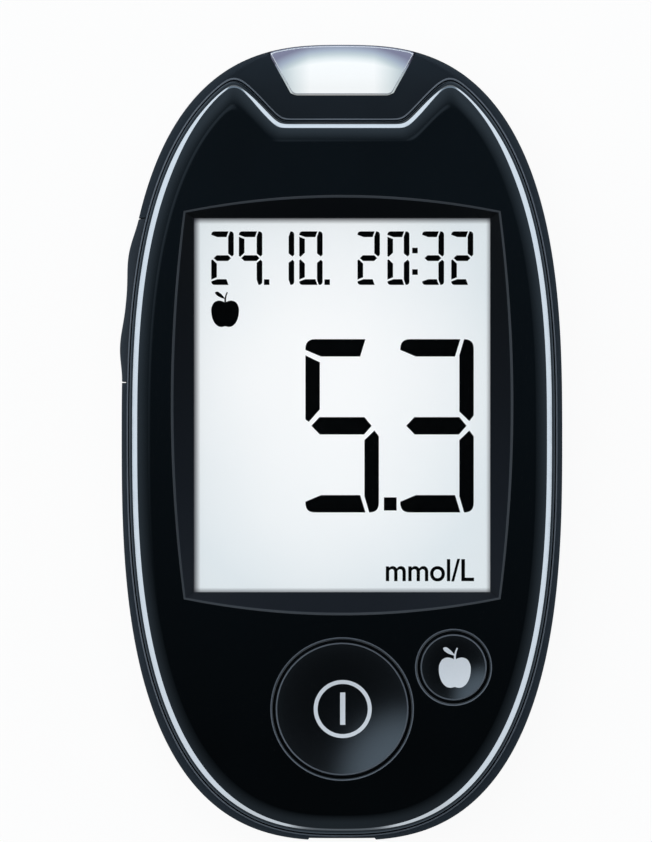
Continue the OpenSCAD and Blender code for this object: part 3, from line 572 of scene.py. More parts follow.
def gloss_black():
    """Polished black front half: a deep gloss with a trace of orange peel and handling marks,
    and painted light that makes it a shade paler and bluer towards the tip."""
    even = (0.002, 0.0034, 0.0043)
    p = Paint("gloss_black", even, 0.07, Coat_Weight=1.0, Coat_Roughness=0.03)
    marks = p.noise(9.0, 3.0, (1, 0.45, 1))
    # painted light: the base colour turns a shade paler and bluer towards the tip
    painted_light_tone = p.blend(p.spread(p.xy()[1], 0.0, 1.0, -38.0, 30.0),
                   (0.0018, 0.0026, 0.0031), (0.0054, 0.0082, 0.0108))
    p.set(Roughness=p.spread(marks, 0.05, 0.13, 0.35, 0.75),
          Base_Color=p.blend(p.spread(marks, 0.0, 0.3, 0.3, 0.7), painted_light_tone, even))
    return p.finish(p.noise(2.6, 1.0), 0.0012)


def polished_rim():
    """Polished bevel round the face: bright, with fine marks along it."""
    p = Paint("polished_rim", (0.56, 0.57, 0.58), 0.08, Metallic=1.0)
    marks = p.noise(1.6, 3.0)
    p.set(Roughness=p.spread(marks, 0.05, 0.14, 0.3, 0.75),
          Base_Color=p.blend(marks, (0.53, 0.54, 0.55), (0.59, 0.6, 0.61)))
    return p.finish(p.noise(0.9, 1.0), 0.0008)


def satin(name, colour, low=0.36, high=0.5, grain=0.09, relief=0.004, specular=0.2, **constants):
    """Moulded plastic with a fine spark-eroded grain."""
    p = Paint(name, colour, (low + high) / 2, Specular_IOR_Level=specular, **constants)
    fine = p.noise(grain)
    p.set(Roughness=p.spread(fine, low, high, 0.3, 0.7),
          Base_Color=p.blend(p.noise(6.0), *shades(colour, 0.86, 1.16)))
    return p.finish(fine, relief)


def recess_black():
    """Matt slopes of the display recess, with painted light and shade: paler at their lower end,
    darker towards the tip.
    """
    p = Paint("recess_black", (0.0055, 0.0072, 0.0098), 0.49, Specular_IOR_Level=0.12)
    fine = p.noise(0.07)
    # painted light and shade: paler towards the lower end, darker towards the tip
    painted_light_tone = p.blend(p.spread(p.xy()[1], 1.0, 0.0, -16.0, 28.5),
                   (0.0008, 0.0012, 0.0018), (0.008, 0.0105, 0.015))
    p.set(Roughness=p.spread(fine, 0.42, 0.56, 0.3, 0.7),
          Base_Color=p.blend(p.spread(p.noise(6.0), 0.0, 0.25), painted_light_tone, (0.003, 0.004, 0.005)))
    return p.finish(fine, 0.003)


def printed():
    """Silver-grey print on the buttons, slightly uneven as screen print is."""
    p = Paint("print_silver", (0.74, 0.77, 0.8), 0.42, Specular_IOR_Level=0.4)
    fine = p.noise(0.12)
    p.set(Base_Color=p.blend(fine, (0.7, 0.73, 0.76), (0.78, 0.81, 0.84)))
    return p.finish(fine, 0.002)


def port_light():
    """Clear guide lit from behind, shown as a glow: white in the middle, with painted shade that
    makes it violet-grey towards the tip and the sides.
    """
    p = Paint("port_glow_painted_shade", (0.3, 0.3, 0.3), 0.22, Coat_Weight=0.5, Coat_Roughness=0.08)
    x, y = p.xy()
    # painted shade: the glow dims towards the tip, where the top rolls away, and towards the sides
    rise = p.spread(p.plus(y, p.times(x, x, 0.02)), 1.0, 0.2, 47.6, 49.9)
    side = p.spread(p.math("ABSOLUTE", x), 1.0, 0.45, 4.0, 9.0)
    light = p.node("ValToRGB", p.times(rise, side))
    stops = ((0.2, (0.2, 0.205, 0.3)), (0.43, (0.37, 0.43, 0.53)), (0.63, (0.55, 0.63, 0.66)),
             (0.8, (0.77, 0.83, 0.84)), (1.0, (0.98, 1.0, 1.0)))
    elements = light.color_ramp.elements
    while len(elements) < len(stops):
        elements.new(0.5)
    for element, (place, colour) in zip(elements, stops):
        element.position = place
        element.color = (*colour, 1)
    p.set(Base_Color=p.blend(0.35, BLACK, light), Emission_Color=light, Emission_Strength=0.68)
    return p.finish(p.noise(0.8), 0.003)


def display_face():
    """Face of the display: pale and bluish, brightened by a painted glow, with painted shadow of
    the frame along its edges.
    """
    p = Paint("display_face", (0.3, 0.31, 0.32), 0.35, Specular_IOR_Level=0.3)
    x, y = p.xy()
    half, top, low = VIEW_W / 2, VIEW_Y + VIEW_H / 2, VIEW_Y - VIEW_H / 2
    # painted shadow of the frame, deepest along the upper and left edges
    shade = p.times(p.spread(x, 0.1, 1.0, -half + 0.02, -half + 0.8),
                    p.spread(x, 1.0, 0.42, half - 0.5, half - 0.02),
                    p.spread(y, 1.0, 0.12, top - 0.7, top - 0.02),
                    p.spread(y, 0.35, 1.0, low + 0.02, low + 0.55))
    dx, dy = p.times(p.plus(x, 2.0), 1 / 26.0), p.times(p.plus(y, -8.0), 1 / 34.0)
    away = p.plus(p.times(dx, dx), p.times(dy, dy), p.times(p.noise(16.0, 1.0), 0.25))
    tint = p.blend(p.spread(away, 0.0, 1.0, 0.08, 0.85), (0.93, 0.935, 0.935), (0.73, 0.79, 0.82))
    face = p.blend(shade, (0.02, 0.02, 0.03), tint)
    # most of its brightness is a painted glow that stands in for the light falling on it
    p.set(Base_Color=p.blend(0.28, BLACK, face), Emission_Color=face, Emission_Strength=0.9)
    return p.finish(p.noise(0.25, 1.0), 0.0015)


def display_ink():
    """Dark segments, faintly uneven as driven crystal is."""
    p = Paint("display_ink", (0.0008, 0.001, 0.001), 0.45, Specular_IOR_Level=0.05)
    p.set(Base_Color=p.blend(p.noise(1.2), (0.0005, 0.0008, 0.0009), (0.0014, 0.0018, 0.002)))
    return p.material


def clear_pane():
    """Clear window that lets the lamps through to the display."""
    p = Paint("clear_pane", WHITE, 0.0, Transmission_Weight=1.0, IOR=1.49)
    p.set(Roughness=p.spread(p.noise(7.0), 0.0, 0.03, 0.45, 0.8))
    path = p.node("LightPath").outputs
    lamps = p.math("MAXIMUM", path["Is Shadow Ray"], path["Is Diffuse Ray"])
    through = p.node("BsdfTransparent", (0.97, 0.975, 0.98))
    p.show(p.node("MixShader", lamps, p.shader, through))
    return p.material


def metal(name, colour, low, high, stretch=(1, 1, 1)):
    """Bare metal with a fine grain, drawn out where it is stretched."""
    p = Paint(name, colour, (low + high) / 2, Metallic=1.0)
    grain = p.noise(0.25, 3.0, stretch)
    p.set(Roughness=p.spread(grain, low, high, 0.3, 0.7),
          Base_Color=p.blend(p.noise(2.0), *shades(colour, 0.86, 1.0)))
    return p.finish(grain, 0.002)


def board_green():
    """Solder mask over copper tracks, which show as paler lines."""
    p = Paint("board_green", (0.01, 0.11, 0.05), 0.3, Coat_Weight=0.3, Coat_Roughness=0.15)
    tracks = p.node("TexBrick", p.where(), Color1=BLACK, Color2=(0.1, 0.1, 0.1), Mortar=WHITE,
                    Scale=0.45, Mortar_Size=0.045)
    p.set(Base_Color=p.blend(tracks, (0.008, 0.085, 0.04), (0.03, 0.2, 0.09)))
    return p.finish(tracks.outputs["Fac"], 0.02)


def plain(name, colour, roughness, size=0.6, relief=0.004, **constants):
    """Small inner part: colour and sheen vary slightly."""
    p = Paint(name, colour, roughness, **constants)
    grain = p.noise(size, 3.0)
    p.set(Base_Color=p.blend(grain, *shades(colour, 0.82, 1.15)),
          Roughness=p.spread(grain, roughness * 0.85, min(1, roughness * 1.2)))
    return p.finish(grain, relief)


def cell_wrap():
    """Printed film of a cell: dark with a metallic band at each end."""
    p = Paint("cell_wrap", (0.02, 0.02, 0.022), 0.28, Coat_Weight=0.5, Coat_Roughness=0.1)
    band = p.spread(p.math("ABSOLUTE", p.xy()[1]), 0.0, 1.0, 8.0, 8.4)
    p.set(Base_Color=p.blend(band, (0.018, 0.018, 0.02), (0.5, 0.28, 0.09)),
          Roughness=p.spread(p.noise(1.5), 0.2, 0.36))
    return p.finish(p.noise(0.5), 0.004)


gloss = gloss_black()
bright = polished_rim()
recess = recess_black()
# paler satin on the rounded edge of the display recess: a painted highlight along that edge
painted_highlight_edge = satin("painted_highlight_edge", (0.04, 0.046, 0.053), 0.3, 0.42, 0.05, 0.002, 0.3)
# paler satin on the thin edge at the seam, round the button holes and on the cap edges: a painted
# highlight over a real satin sheen
highlight_line = satin("painted_highlight_line", (0.1, 0.115, 0.135), 0.3, 0.42, 0.05, 0.002, 0.3)
shell_grey = satin("shell_grey", (0.0128, 0.0178, 0.0235), specular=0.06)
rocker_grey = satin("rocker_grey", (0.0115, 0.0145, 0.0185), 0.32, 0.44)
button_black = satin("button_black", (0.0005, 0.0008, 0.0012), 0.18, 0.24, 0.05, 0.0008, 1.0,
                     IOR=2.2, Coat_Weight=1.0, Coat_Roughness=0.15, Coat_IOR=2.6)
silver = printed()
glow = port_light()
guide_edge = satin("guide_edge", (0.68, 0.7, 0.74), 0.2, 0.3, 0.05, 0.002, 0.5)
face_white = display_face()
ink = display_ink()
pane = clear_pane()
steel = metal("steel", (0.62, 0.63, 0.65), 0.22, 0.4, (1, 6, 1))
brass = metal("gold_plate", (0.83, 0.62, 0.27), 0.18, 0.32)
green = board_green()
white_plastic = plain("white_plastic", (0.82, 0.83, 0.82), 0.45)
milky = plain("milky_guide", (0.9, 0.92, 0.95), 0.3, Transmission_Weight=0.3)
rubber = plain("rubber", (0.33, 0.33, 0.35), 0.7, 0.15, 0.006)
zebra = plain("contact_rubber", (0.5, 0.16, 0.13), 0.6, 0.08, 0.006)
dark_plastic = plain("dark_plastic", (0.018, 0.018, 0.02), 0.42, 0.12)
ceramic = plain("ceramic", (0.42, 0.31, 0.2), 0.5, 0.15)
lamp = plain("lamp_lens", (0.9, 0.88, 0.78), 0.25, 0.4)
wrap = cell_wrap()


# ---------------------------------------------------------------- front half
GLOSS, SLOPE, PAINTED_EDGE, BEVEL, LINE = range(5)  # its material slots


def bevel_width(a):
    """Share of the bevel's full width: less round the lower end, in the notch and at its tips."""
    above = degrees(acos(max(-1.0, min(1.0, sin(a)))))
    if above < TIP_TURN:
        return ease(above, TIP_TURN - 0.3, TIP_TURN - 3.4, TIP_END, NOTCH_SHARE)
    return min(ease(180 - above, 0, BEVEL_TURN, BEVEL_END, 1.0),
               ease(above, TIP_TURN - 2, TIP_TURN + 18, TIP_END, 1.0))


def rim_profile(a):
    """Rounded rim from the seam inwards, as strips of (inset, height): an upright foot, a thin
    line of an edge, a ledge, a wall, a narrow polished bevel of about 40 degrees, and a long
    slope that turns into the face over 0.4 mm."""
    width = bevel_width(a)
    low = (0.8 + 0.124 * (1 - width), 2.03 + 0.106 * (1 - width))
    high = (low[0] + 0.62 * width, low[1] + 0.53 * width)
    foot = [(EDGE_IN, 0.0), (EDGE_IN, 0.28)]
    edge = bezier(foot[-1], (0.1, 0.36), (0.23, 0.4), 4)
    ledge = [edge[-1], (0.3, 0.4), (0.38, 0.4)]
    outer = bezier(ledge[-1], (0.38, 1.66), low, 12)
    middle = ((low[0] + high[0]) / 2, (low[1] + high[1]) / 2 + 0.01 * width)
    bevel = bezier(low, middle, high, 6)
    inner = bezier(high, (2.058, 2.889), (2.75, 3.055), 18)
    inner += bezier(inner[-1], (2.94, RIM_H), (3.15, RIM_H), 8)[1:]
    inner += [(3.5, RIM_H), (RIM_W, RIM_H)]
    return foot, edge, ledge, outer, bevel, inner


def rim_point(a, inset, height):
    """Point of the rim: its upper part hangs from the domed face, its foot stands on the seam."""
    x, y = polar(face_r(a, inset), a)
    drop = face_z(x, y) - RIM_H
    if height > RIM_FOOT:
        return x, y, drop + height
    return x, y, SEAM_Z + height * (drop + RIM_FOOT - SEAM_Z) / RIM_FOOT


def recess_half(grow=0.0):
    """Half sizes of the recess, at its ends and in its middle."""
    return [tuple(half + grow for half in pair) for pair in (RECESS_END, RECESS_MID)]


def barrel_side(side, end, middle, count=40):
    """Points of one side of a barrel shape, anticlockwise from the lower right."""
    (hx, hy), (mx, my) = end, middle
    pts = []
    for i in range(count + 1):
        t = -1 + 2 * i / count
        wide, tall = hx + (mx - hx) * (1 - t * t), hy + (my - hy) * (1 - t * t)
        x, y = [(wide, t * hy), (-t * hx, tall), (-wide, -t * hy), (t * hx, -tall)][side]
        pts.append((x, y + VIEW_Y))
    return pts


def in_recess(x, y, grow):
    (hx, hy), (mx, my) = recess_half(grow)
    y -= VIEW_Y
    wide = hx + (mx - hx) * (1 - min(1.0, abs(y) / hy) ** 2)
    tall = hy + (my - hy) * (1 - min(1.0, abs(x) / hx) ** 2)
    return abs(x) < wide and abs(y) < tall


def in_button(x, y, margin):
    return any(hypot(x - bx, y - by) < d / 2 + margin for bx, by, d in BUTTONS)


def face_offset(rise):
    """Height function that follows the face."""
    return lambda x, y: face_z(x, y) + rise


def front_shell():
    skin = Skin()
    turns = directions(0.75, 0.3)
    strips = zip(*(rim_profile(a) for a in turns))
    # the thin edge strip at the seam takes the LINE colour, a painted highlight
    for strip, slot in zip(strips, (GLOSS, LINE, GLOSS, GLOSS, BEVEL, GLOSS)):
        rows = [[rim_point(a, *point) for a, point in zip(turns, row)] for row in zip(*strip)]
        skin.grid(rows, slot=slot)
    rim = [p[:2] for p in rows[-1]]

    # edge of the display recess, its slopes, and the lip's inner wall
    opening = []
    for side in range(4):
        outer = barrel_side(side, *recess_half(RECESS_EDGE))
        corner = barrel_side(side, *recess_half())
        foot = barrel_side(side, VIEW_HALF, VIEW_HALF)
        columns = []
        for (ox, oy), (cx, cy), (fx, fy) in zip(outer, corner, foot):
            top, low = (cx, cy, face_z(cx, cy)), (fx, fy, LIP_Z)
            down = part_way(top, low, 0.06)
            columns.append(bezier((ox, oy, face_z(ox, oy)), top, down, 6)
                           + [part_way(down, low, k / 8) for k in range(1, 9)])
        rows = list(zip(*columns))
        # the rounded edge of the recess takes the paler satin as a painted highlight
        skin.grid(rows[:7], closed=False, slot=PAINTED_EDGE)
        skin.grid(rows[6:], closed=False, slot=SLOPE)
        lip = [[(x, y, z) for x, y in foot] for z in (LIP_Z, CEILING_Z)]
        skin.grid(lip, closed=False, slot=SLOPE)
        opening += outer[:-1]

    # button holes, with a small bevel at the face
    for bx, by, d in BUTTONS:
        r = d / 2 + GAP
        # the ring round each hole takes the LINE colour, a painted highlight
        line = bezier((r + RING_OUT, 0.0), (r + 0.34, 0.0), (r + 0.26, -0.05), 4)
        chamfer = bezier(line[-1], (r + 0.06, -0.14), (r, -HOLE_EDGE), 6)
        for section, slot in ((line, LINE), (chamfer, GLOSS)):
            skin.turned((bx, by), [(q, face_offset(rise)) for q, rise in section], slot)
        skin.turned((bx, by), [(r, face_offset(-HOLE_EDGE)), (r, CEILING_Z)])

    def on_face(x, y):
        return (in_rim(x, y, RIM_W) and not in_recess(x, y, RECESS_EDGE)
                and not in_button(x, y, GAP + RING_OUT))

    rings = [circle(bx, by, d / 2 + GAP + RING_OUT) for bx, by, d in BUTTONS]
    skin.cap([rim, opening] + rings, 1.6, face_z, face_normal, on_face)

    # inside of the shell: wall, ceiling, and the underside of the rim
    section = ((WALL + 1.5, CEILING_Z), (WALL + 0.6, CEILING_Z - 0.6), (WALL + 0.1, SEAM_Z),
               (WALL + 0.1, SEAM_Z - SKIRT), (SKIRT_IN, SEAM_Z - SKIRT), (SKIRT_IN, SEAM_Z),
               (EDGE_IN, SEAM_Z))
    wall = [[(*polar(face_r(a, inset), a), z) for a in turns[::2]] for inset, z in section]
    for low, high in zip(wall, wall[1:]):
        skin.grid([low, high])

    def under(x, y):
        window = abs(x) < VIEW_HALF[0] and abs(y - VIEW_Y) < VIEW_HALF[1]
        return in_rim(x, y, WALL + 1.5) and not window and not in_button(x, y, GAP)

    window = [p for side in range(4) for p in barrel_side(side, VIEW_HALF, VIEW_HALF, 4)[:-1]]
    holes = [circle(bx, by, d / 2 + GAP) for bx, by, d in BUTTONS]
    skin.flat([wall[0], window] + holes, 6.0, CEILING_Z, under, flip=True)
    skin.piece("front_half", "housing", [gloss, recess, painted_highlight_edge, bright, highlight_line], "face",
               ["front_shell"])


# ---------------------------------------------------------------- rear half and battery cover
def belly_solid():
    """Closed belly with the rolled nose, and with its top edge rounded over."""
    heights = [GIRTH_Z * (1 - cos(pi / 2 * i / 24)) for i in range(25)]
    rings = [[(*polar(belly_r(a, z), a), z) for a in EVEN] for z in heights]

    def upper(share, inset, drop):
        """Ring at a share of the way from the girth to a drop below the top."""
        ring = []
        for a in EVEN:
            top = nose_z(polar(oval(a, SEAM_INSET, SEAM_N), a)[1])
            z = GIRTH_Z + (top - drop - GIRTH_Z) * share
            x, y = polar(belly_r(a, z, inset), a)
            ring.append((x, y, min(z, nose_z(y))))
        return ring

    rings += [upper(k / 10, 0.0, TOP_EDGE) for k in range(1, 11)]
    for turn in (pi / 2 * k / 4 for k in range(1, 5)):
        rings.append(upper(1.0, TOP_EDGE * (1 - cos(turn)), TOP_EDGE * (1 - sin(turn))))
    for inset in (0.5, 1.0, 1.6, 2.4, 3.4, 4.6, 6.0, 8.0, 11.0):
        ring = [polar(oval(a, SEAM_INSET + inset, SEAM_N), a) for a in EVEN]
        rings.append([(x, y, nose_z(y)) for x, y in ring])
    return loft(rings, (0, GIRTH_Y, 0), (0, GIRTH_Y, SEAM_Z))


def belly_piece(name, body, steps, node):
    """Carves a piece out of the belly: smooth where it curves, crisp at its edges."""
    mesh = carved(belly_solid(), steps)
    mesh.name = name
    coat(mesh, shell_grey)
    mesh.transform(Matrix.Scale(MM, 4))
    mesh.shade_smooth()
    mesh.set_sharp_from_angle(angle=radians(SHARP_ANGLE))
    placed(mesh, name, body, [node])


def cover_plan(margin):
    half = COVER_HALF + margin
    return round_rect(-half, -BODY_L, half, COVER_HIGH + margin, COVER_R + margin)


def port_plan(margin):
    """Outline of the strip port's guide, wider towards the tip, with rounded inner corners. It
    runs past the tip."""
    inner = PORT_IN_W / 2
    lean = (PORT_OUT_W / 2 - inner) / PORT_FLARE
    cx, cy = inner - PORT_R * 0.55, PORT_Y + PORT_R
    fx, fy = inner + lean * 7.0, PORT_Y + 7.5
    tangent = atan2(fy - cy, fx - cx) - asin(PORT_R / hypot(fx - cx, fy - cy))
    r, first, last = PORT_R + margin, -pi / 2, tangent - pi / 2
    right = [(cx + r * cos(t), cy + r * sin(t))
             for t in (first + (last - first) * i / 10 for i in range(11))]
    right.append((fx + margin * cos(last), fy + margin * sin(last)))
    return right + [(-x, y) for x, y in reversed(right)]


def rear_hollow():
    """The air in the rear half, less what stands in it."""
    heights = [WALL + (SEAM_Z - 2 * WALL) * i / 6 for i in range(7)]
    rings = [[(*polar(belly_r(a, z, WALL), a), z) for a in EVEN[::4]] for z in heights]
    air = loft(rings, (0, GIRTH_Y, WALL), (0, GIRTH_Y, SEAM_Z - WALL))
    shelf, groove = ([polar(face_r(a, inset), a) for a in directions(3, 1.2)]
                     for inset in (WALL + 0.1, 0.8))
    steps = [("+", prism(shelf, SEAM_Z - WALL - 0.5, SEAM_Z + 0.5)),
             ("+", prism(groove, SEAM_Z - SKIRT - 0.1, SEAM_Z + 0.6)),
             ("-", box(-BAY_HALF - 1, -BAY_LOW - 1, 0, BAY_HALF + 1, BAY_HIGH + 1, TRAY_Z)),
             ("-", box(-COVER_HALF - WALL, -BODY_L, -1,
                       COVER_HALF + WALL, COVER_HIGH + WALL, LEDGE_Z + LEDGE_T))]
    steps += [("-", disc(x, y, -1, BOARD_Z, SCREW_D / 2 + 1.5)) for x, y in SCREWS]
    side = SLOT_W / 2 + WALL
    steps.append(("-", box(-side, FLOOR_Y + GIRTH_Y + 0.9, SLOT_LOW - 1.4,
                           side, BODY_L / 2 + 1, SLOT_HIGH + 0.9)))
    arm = PIN_X + EAR_R + SLACK
    for x0, z0, x1, z1 in ((arm, 0, arm + 1.4, BOARD_Z - SLACK),
                           (PIN_X - 1, -1, arm + 0.1, ROCKER_LOW + 1.7),
                           (PIN_X - 1, BOARD_Z - 1.2, arm + 0.1, BOARD_Z - SLACK)):
        steps.append(("-", box(x0, ROCKER_Y - 1, z0, x1, ROCKER_Y + 1, z1)))
    return carved(air, steps)


def rear_shell():
    cuts = [rear_hollow(), box(-BAY_HALF, -BAY_LOW, -1, BAY_HALF, BAY_HIGH, ROOF_Z),
            prism(cover_plan(0.15), -1, LEDGE_Z)]

    # tracks of the cover's hooks, and the gaps that let them in
    for s in (-1, 1):
        inner, outer = s * BAY_HALF * 0.5, s * (HOOK_OUT + SLACK)
        for y in HOOKS:
            let_go = y - COVER_SLIDE - SLACK
            cuts += [box(inner, let_go, HOOK_Z - 0.1,
                         outer, y + HOOK_L + SLACK, HOOK_Z + HOOK_H + 0.15),
                     box(inner, let_go, LEDGE_Z - 0.1,
                         outer, let_go + HOOK_L + 2 * SLACK, HOOK_Z)]
    for x, y in SCREWS:
        cuts += [disc(x, y, -1, HEAD_Z, HEAD_D / 2 + 0.3),
                 disc(x, y, -1, 30, SCREW_D / 2 + 0.15)]

    # slot and seat at the tip, scoop and socket at the lower end
    low, high = -BODY_L / 2 + SCOOP_DEPTH - 2, -BODY_L / 2 + SCOOP_DEPTH
    half, wide = SCOOP_W / 2, SCOOP_W / 2 + SCOOP_LEAN
    cuts += [box(-SLOT_W / 2, FLOOR_Y + GIRTH_Y - 0.4, SLOT_LOW,
                 SLOT_W / 2, BODY_L / 2 + 1, SLOT_HIGH + 0.01),
             prism(port_plan(GAP / 2), SLOT_HIGH, SLOT_HIGH + 5),
             prism([(-half, high), (-wide, low), (wide, low), (half, high)],
                   USB_Z + USB_H / 2 - SCOOP_H, SEAM_Z - 0.9),
             box(-USB_W / 2 - GAP, -BODY_L / 2 - 1, USB_Z - GAP,
                 USB_W / 2 + GAP, -BODY_L / 2 + 4, BOARD_Z + GAP)]

    # rocker opening with the bracket of its pin, and the sound holes
    reach = ROCKER_L / 2 + GAP
    window = box(-BODY_W, ROCKER_Y - reach, ROCKER_LOW - GAP,
                 -BODY_W / 2 + 5, ROCKER_Y + reach, SEAM_Z + 1)
    bracket = box(PIN_X - 1, ROCKER_Y - 1, 0, 0, ROCKER_Y + 1, BOARD_Z)
    cuts += [carved(window, [("-", bracket)]),
             disc(PIN_X, ROCKER_Y, ROCKER_LOW + 0.6, 30, 0.62, 32)]
    cuts += [disc(x, y, -1, 3.6, 0.45, 24) for x, y in circle(*BUZZER, BUZZER_RING, 5)]
    belly_piece("rear_half", "housing", [("-", cut) for cut in cuts], "rear_shell")


def battery_cover():
    steps = [("&", prism(cover_plan(EDGE_IN), -1, COVER_T))]
    for i in range(5):
        wide, y = 6 - abs(i - 2), -BAY_LOW - 3 - i * 1.5
        grip = round_rect(-wide, y, wide, y + 0.8, 0.35, 4)
        steps.append(("-", prism(grip, -1, 0.35)))
    base = COVER_T - 0.1
    steps.append(("+", box(-0.4, -BAY_LOW + 6, base, 0.4, BAY_HIGH - 4, COVER_T + 2)))
    for s in (-1, 1):
        for y in HOOKS:
            for x0, x1, z0 in ((BAY_HALF - 0.9, BAY_HALF - 0.1, base),
                               (BAY_HALF - 0.5, HOOK_OUT, HOOK_Z)):
                hook = box(s * x0, y, z0, s * x1, y + HOOK_L, HOOK_Z + HOOK_H)
                steps.append(("+", hook))
    belly_piece("cover", "cover", steps, "battery_cover")


# ---------------------------------------------------------------- strip port
def port_edge(z, shrink=0.0):
    """Outline of the guide at a height: its plan, cut off by the belly, drawn in by shrink."""
    def belly(a):
        return belly_r(a, z, PORT_IN + shrink)

    right = [p for p in port_plan(-GAP / 2 - shrink) if p[0] > 0]
    flank = []
    for k in range(41):
        x, y = part_way(right[-2], right[-1], k / 40)
        if hypot(x, y - GIRTH_Y) > belly(angle_of(x, y)):
            break
        flank.append((x, y))
    end = angle_of(*flank[-1])
    tip = [end + (pi / 2 - end) * k / 24 for k in range(1, 25)]
    half = right[:-2] + flank + [polar(belly(a), a) for a in tip]
    return half + [(-x, y) for x, y in reversed(half[:-1])]


def evenly(loop, count=200):
    """Even spacing along a closed outline, starting at its lower middle."""
    start = Vector((0, loop[0][1]))
    pts = [start] + [Vector(p) for p in loop] + [start]
    lengths = [0.0]
    for a, b in zip(pts, pts[1:]):
        lengths.append(lengths[-1] + (b - a).length)
    out, k = [], 0
    for s in (lengths[-1] * i / count for i in range(count)):
        while lengths[k + 1] < s:
            k += 1
        span = lengths[k + 1] - lengths[k]
        out.append(tuple(pts[k].lerp(pts[k + 1], (s - lengths[k]) / span if span else 0)))
    return out


def port_guide():
    """Guide at the tip: its top follows the nose, with softened edges."""
    skin = Skin()
    bottom = evenly(port_edge(SLOT_HIGH))
    rows = [[(x, y, SLOT_HIGH) for x, y in bottom]]
    for shrink, drop in ((0, 0.9), (0, 0.5), (0, 0.25), (0, 0.12), (0.015, 0.06), (0.05, 0.02),
                         (0.11, 0.0)):
        top = evenly(port_edge(PORT_TOP_Z, shrink))
        rows.append([(x, y, nose_z(y) - drop) for x, y in top])
    skin.grid(rows[:5])
    skin.grid(rows[4:], slot=1)

    def normal(x, y):
        slope = (nose_z(y + 0.01) - nose_z(y - 0.01)) / 0.02
        return Vector((0, -slope, 1)).normalized()

    skin.cap([top], 0.5, lambda x, y: nose_z(y), normal, within(top))
    skin.flat([bottom], 2.0, SLOT_HIGH, lambda x, y: y < 52, flip=True)
    skin.piece("port_lens", "housing", [glow, guide_edge], "port", ["port_guide"])


# ---------------------------------------------------------------- buttons and their signs
def button(name, body, spec, node):
    """Dished cap with a softened edge, its flange under the face, and a hollow underside."""
    bx, by, d = spec
    r, stem, flange = d / 2, d / 2 * STEM_SHARE, d / 2 + FLANGE_W
    top, dish, inner = face_z(bx, by) - CAP_DROP, d * DISH_SHARE, d / 2 - CAP_EDGE
    low = CEILING_Z - FLANGE_GAP - FLANGE_H
    high = low + FLANGE_H
    edge = [(inner + CAP_EDGE * cos(t), top - CAP_EDGE + CAP_EDGE * sin(t))
            for t in (pi / 2 * k / 12 for k in range(13))]
    bowl = [(q * inner, top - dish * (1 - q * q)) for q in (1 - k / 24 for k in range(1, 24))]
    skin = Skin()
    skin.turned((bx, by), edge[:7])
    # the outer part of the cap's edge takes the second colour, a painted highlight
    skin.turned((bx, by), edge[6:], slot=1)
    for section in ([(r, high), edge[0]], edge[-1:] + bowl + [(0.001, top - dish)],
                    [(flange, low), (flange, high)], [(flange, high), (r, high)],
                    [(r - 1, low), (flange, low)], [(r - 1, CEILING_Z), (r - 1, low)],
                    [(stem, CEILING_Z), (r - 1, CEILING_Z)], [(stem, low), (stem, CEILING_Z)],
                    [(0.001, low), (stem, low)]):
        skin.turned((bx, by), section)
    skin.piece(name, body, [button_black, highlight_line], "button", [node])


def sign(name, body, loops, spec, inside):
    """Printed sign that follows the dish of a button."""
    bx, by, d = spec
    inner, dish = d / 2 - CAP_EDGE, d * DISH_SHARE

    def height(x, y):
        q = min(1.0, hypot(x - bx, y - by) / inner)
        return face_z(bx, by) - CAP_DROP - dish * (1 - q ** 2) + 0.012

    def normal(x, y):
        rise = 2 * dish / inner ** 2
        return Vector((-(x - bx) * rise, -(y - by) * rise, 1)).normalized()

    skin = Skin()
    skin.cap(loops, 0.3, height, normal, inside)
    skin.piece(name, body, [silver], "port")


def power_sign():
    cx, cy = 0.077, POWER[1] - 0.02
    outer, inner = 3.62, 3.13
    sign("power_ring", "power_button", [circle(cx, cy, r, 96) for r in (outer, inner)], POWER,
         lambda x, y: inner < hypot(x - cx, y - cy) < outer)
    bar = square(cx - 0.32, cy - 1.98, cx + 0.32, cy + 2.06)
    sign("power_bar", "power_button", [bar], POWER, within(bar))


APPLE = [(0.0, 0.86), (0.2, 0.96), (0.5, 1.0), (0.8, 0.86), (0.98, 0.5), (1.0, 0.1),
         (0.93, -0.32), (0.76, -0.7), (0.52, -0.93), (0.28, -1.0), (0.1, -0.97), (0.0, -0.95)]
LEAF = [(-0.02, 1.14), (-0.12, 1.32), (-0.3, 1.52), (-0.52, 1.68), (-0.7, 1.66), (-0.72, 1.56),
        (-0.6, 1.4), (-0.38, 1.26)]
STALK = [(-0.06, 0.86), (0.07, 0.86), (0.07, 1.15), (0.12, 1.42), (0.2, 1.62), (0.12, 1.66),
         (0.03, 1.45), (-0.05, 1.15)]


def apple_loops(cx, cy, half_w, half_h):
    """A generic whole apple: body, stalk and leaf."""
    body = APPLE + [(-x, y) for x, y in reversed(APPLE[1:-1])]
    return [anticlockwise([(cx + x * half_w, cy + y * half_h) for x, y in loop])
            for loop in (smooth_loop(body), STALK, smooth_loop(LEAF))]


def marker_sign():
    names = ("marker_apple", "marker_stalk", "marker_leaf")
    for name, loop in zip(names, apple_loops(14.06, -28.68, 1.98, 1.88)):
        sign(name, "marker_button", [loop], MARKER, within(loop))


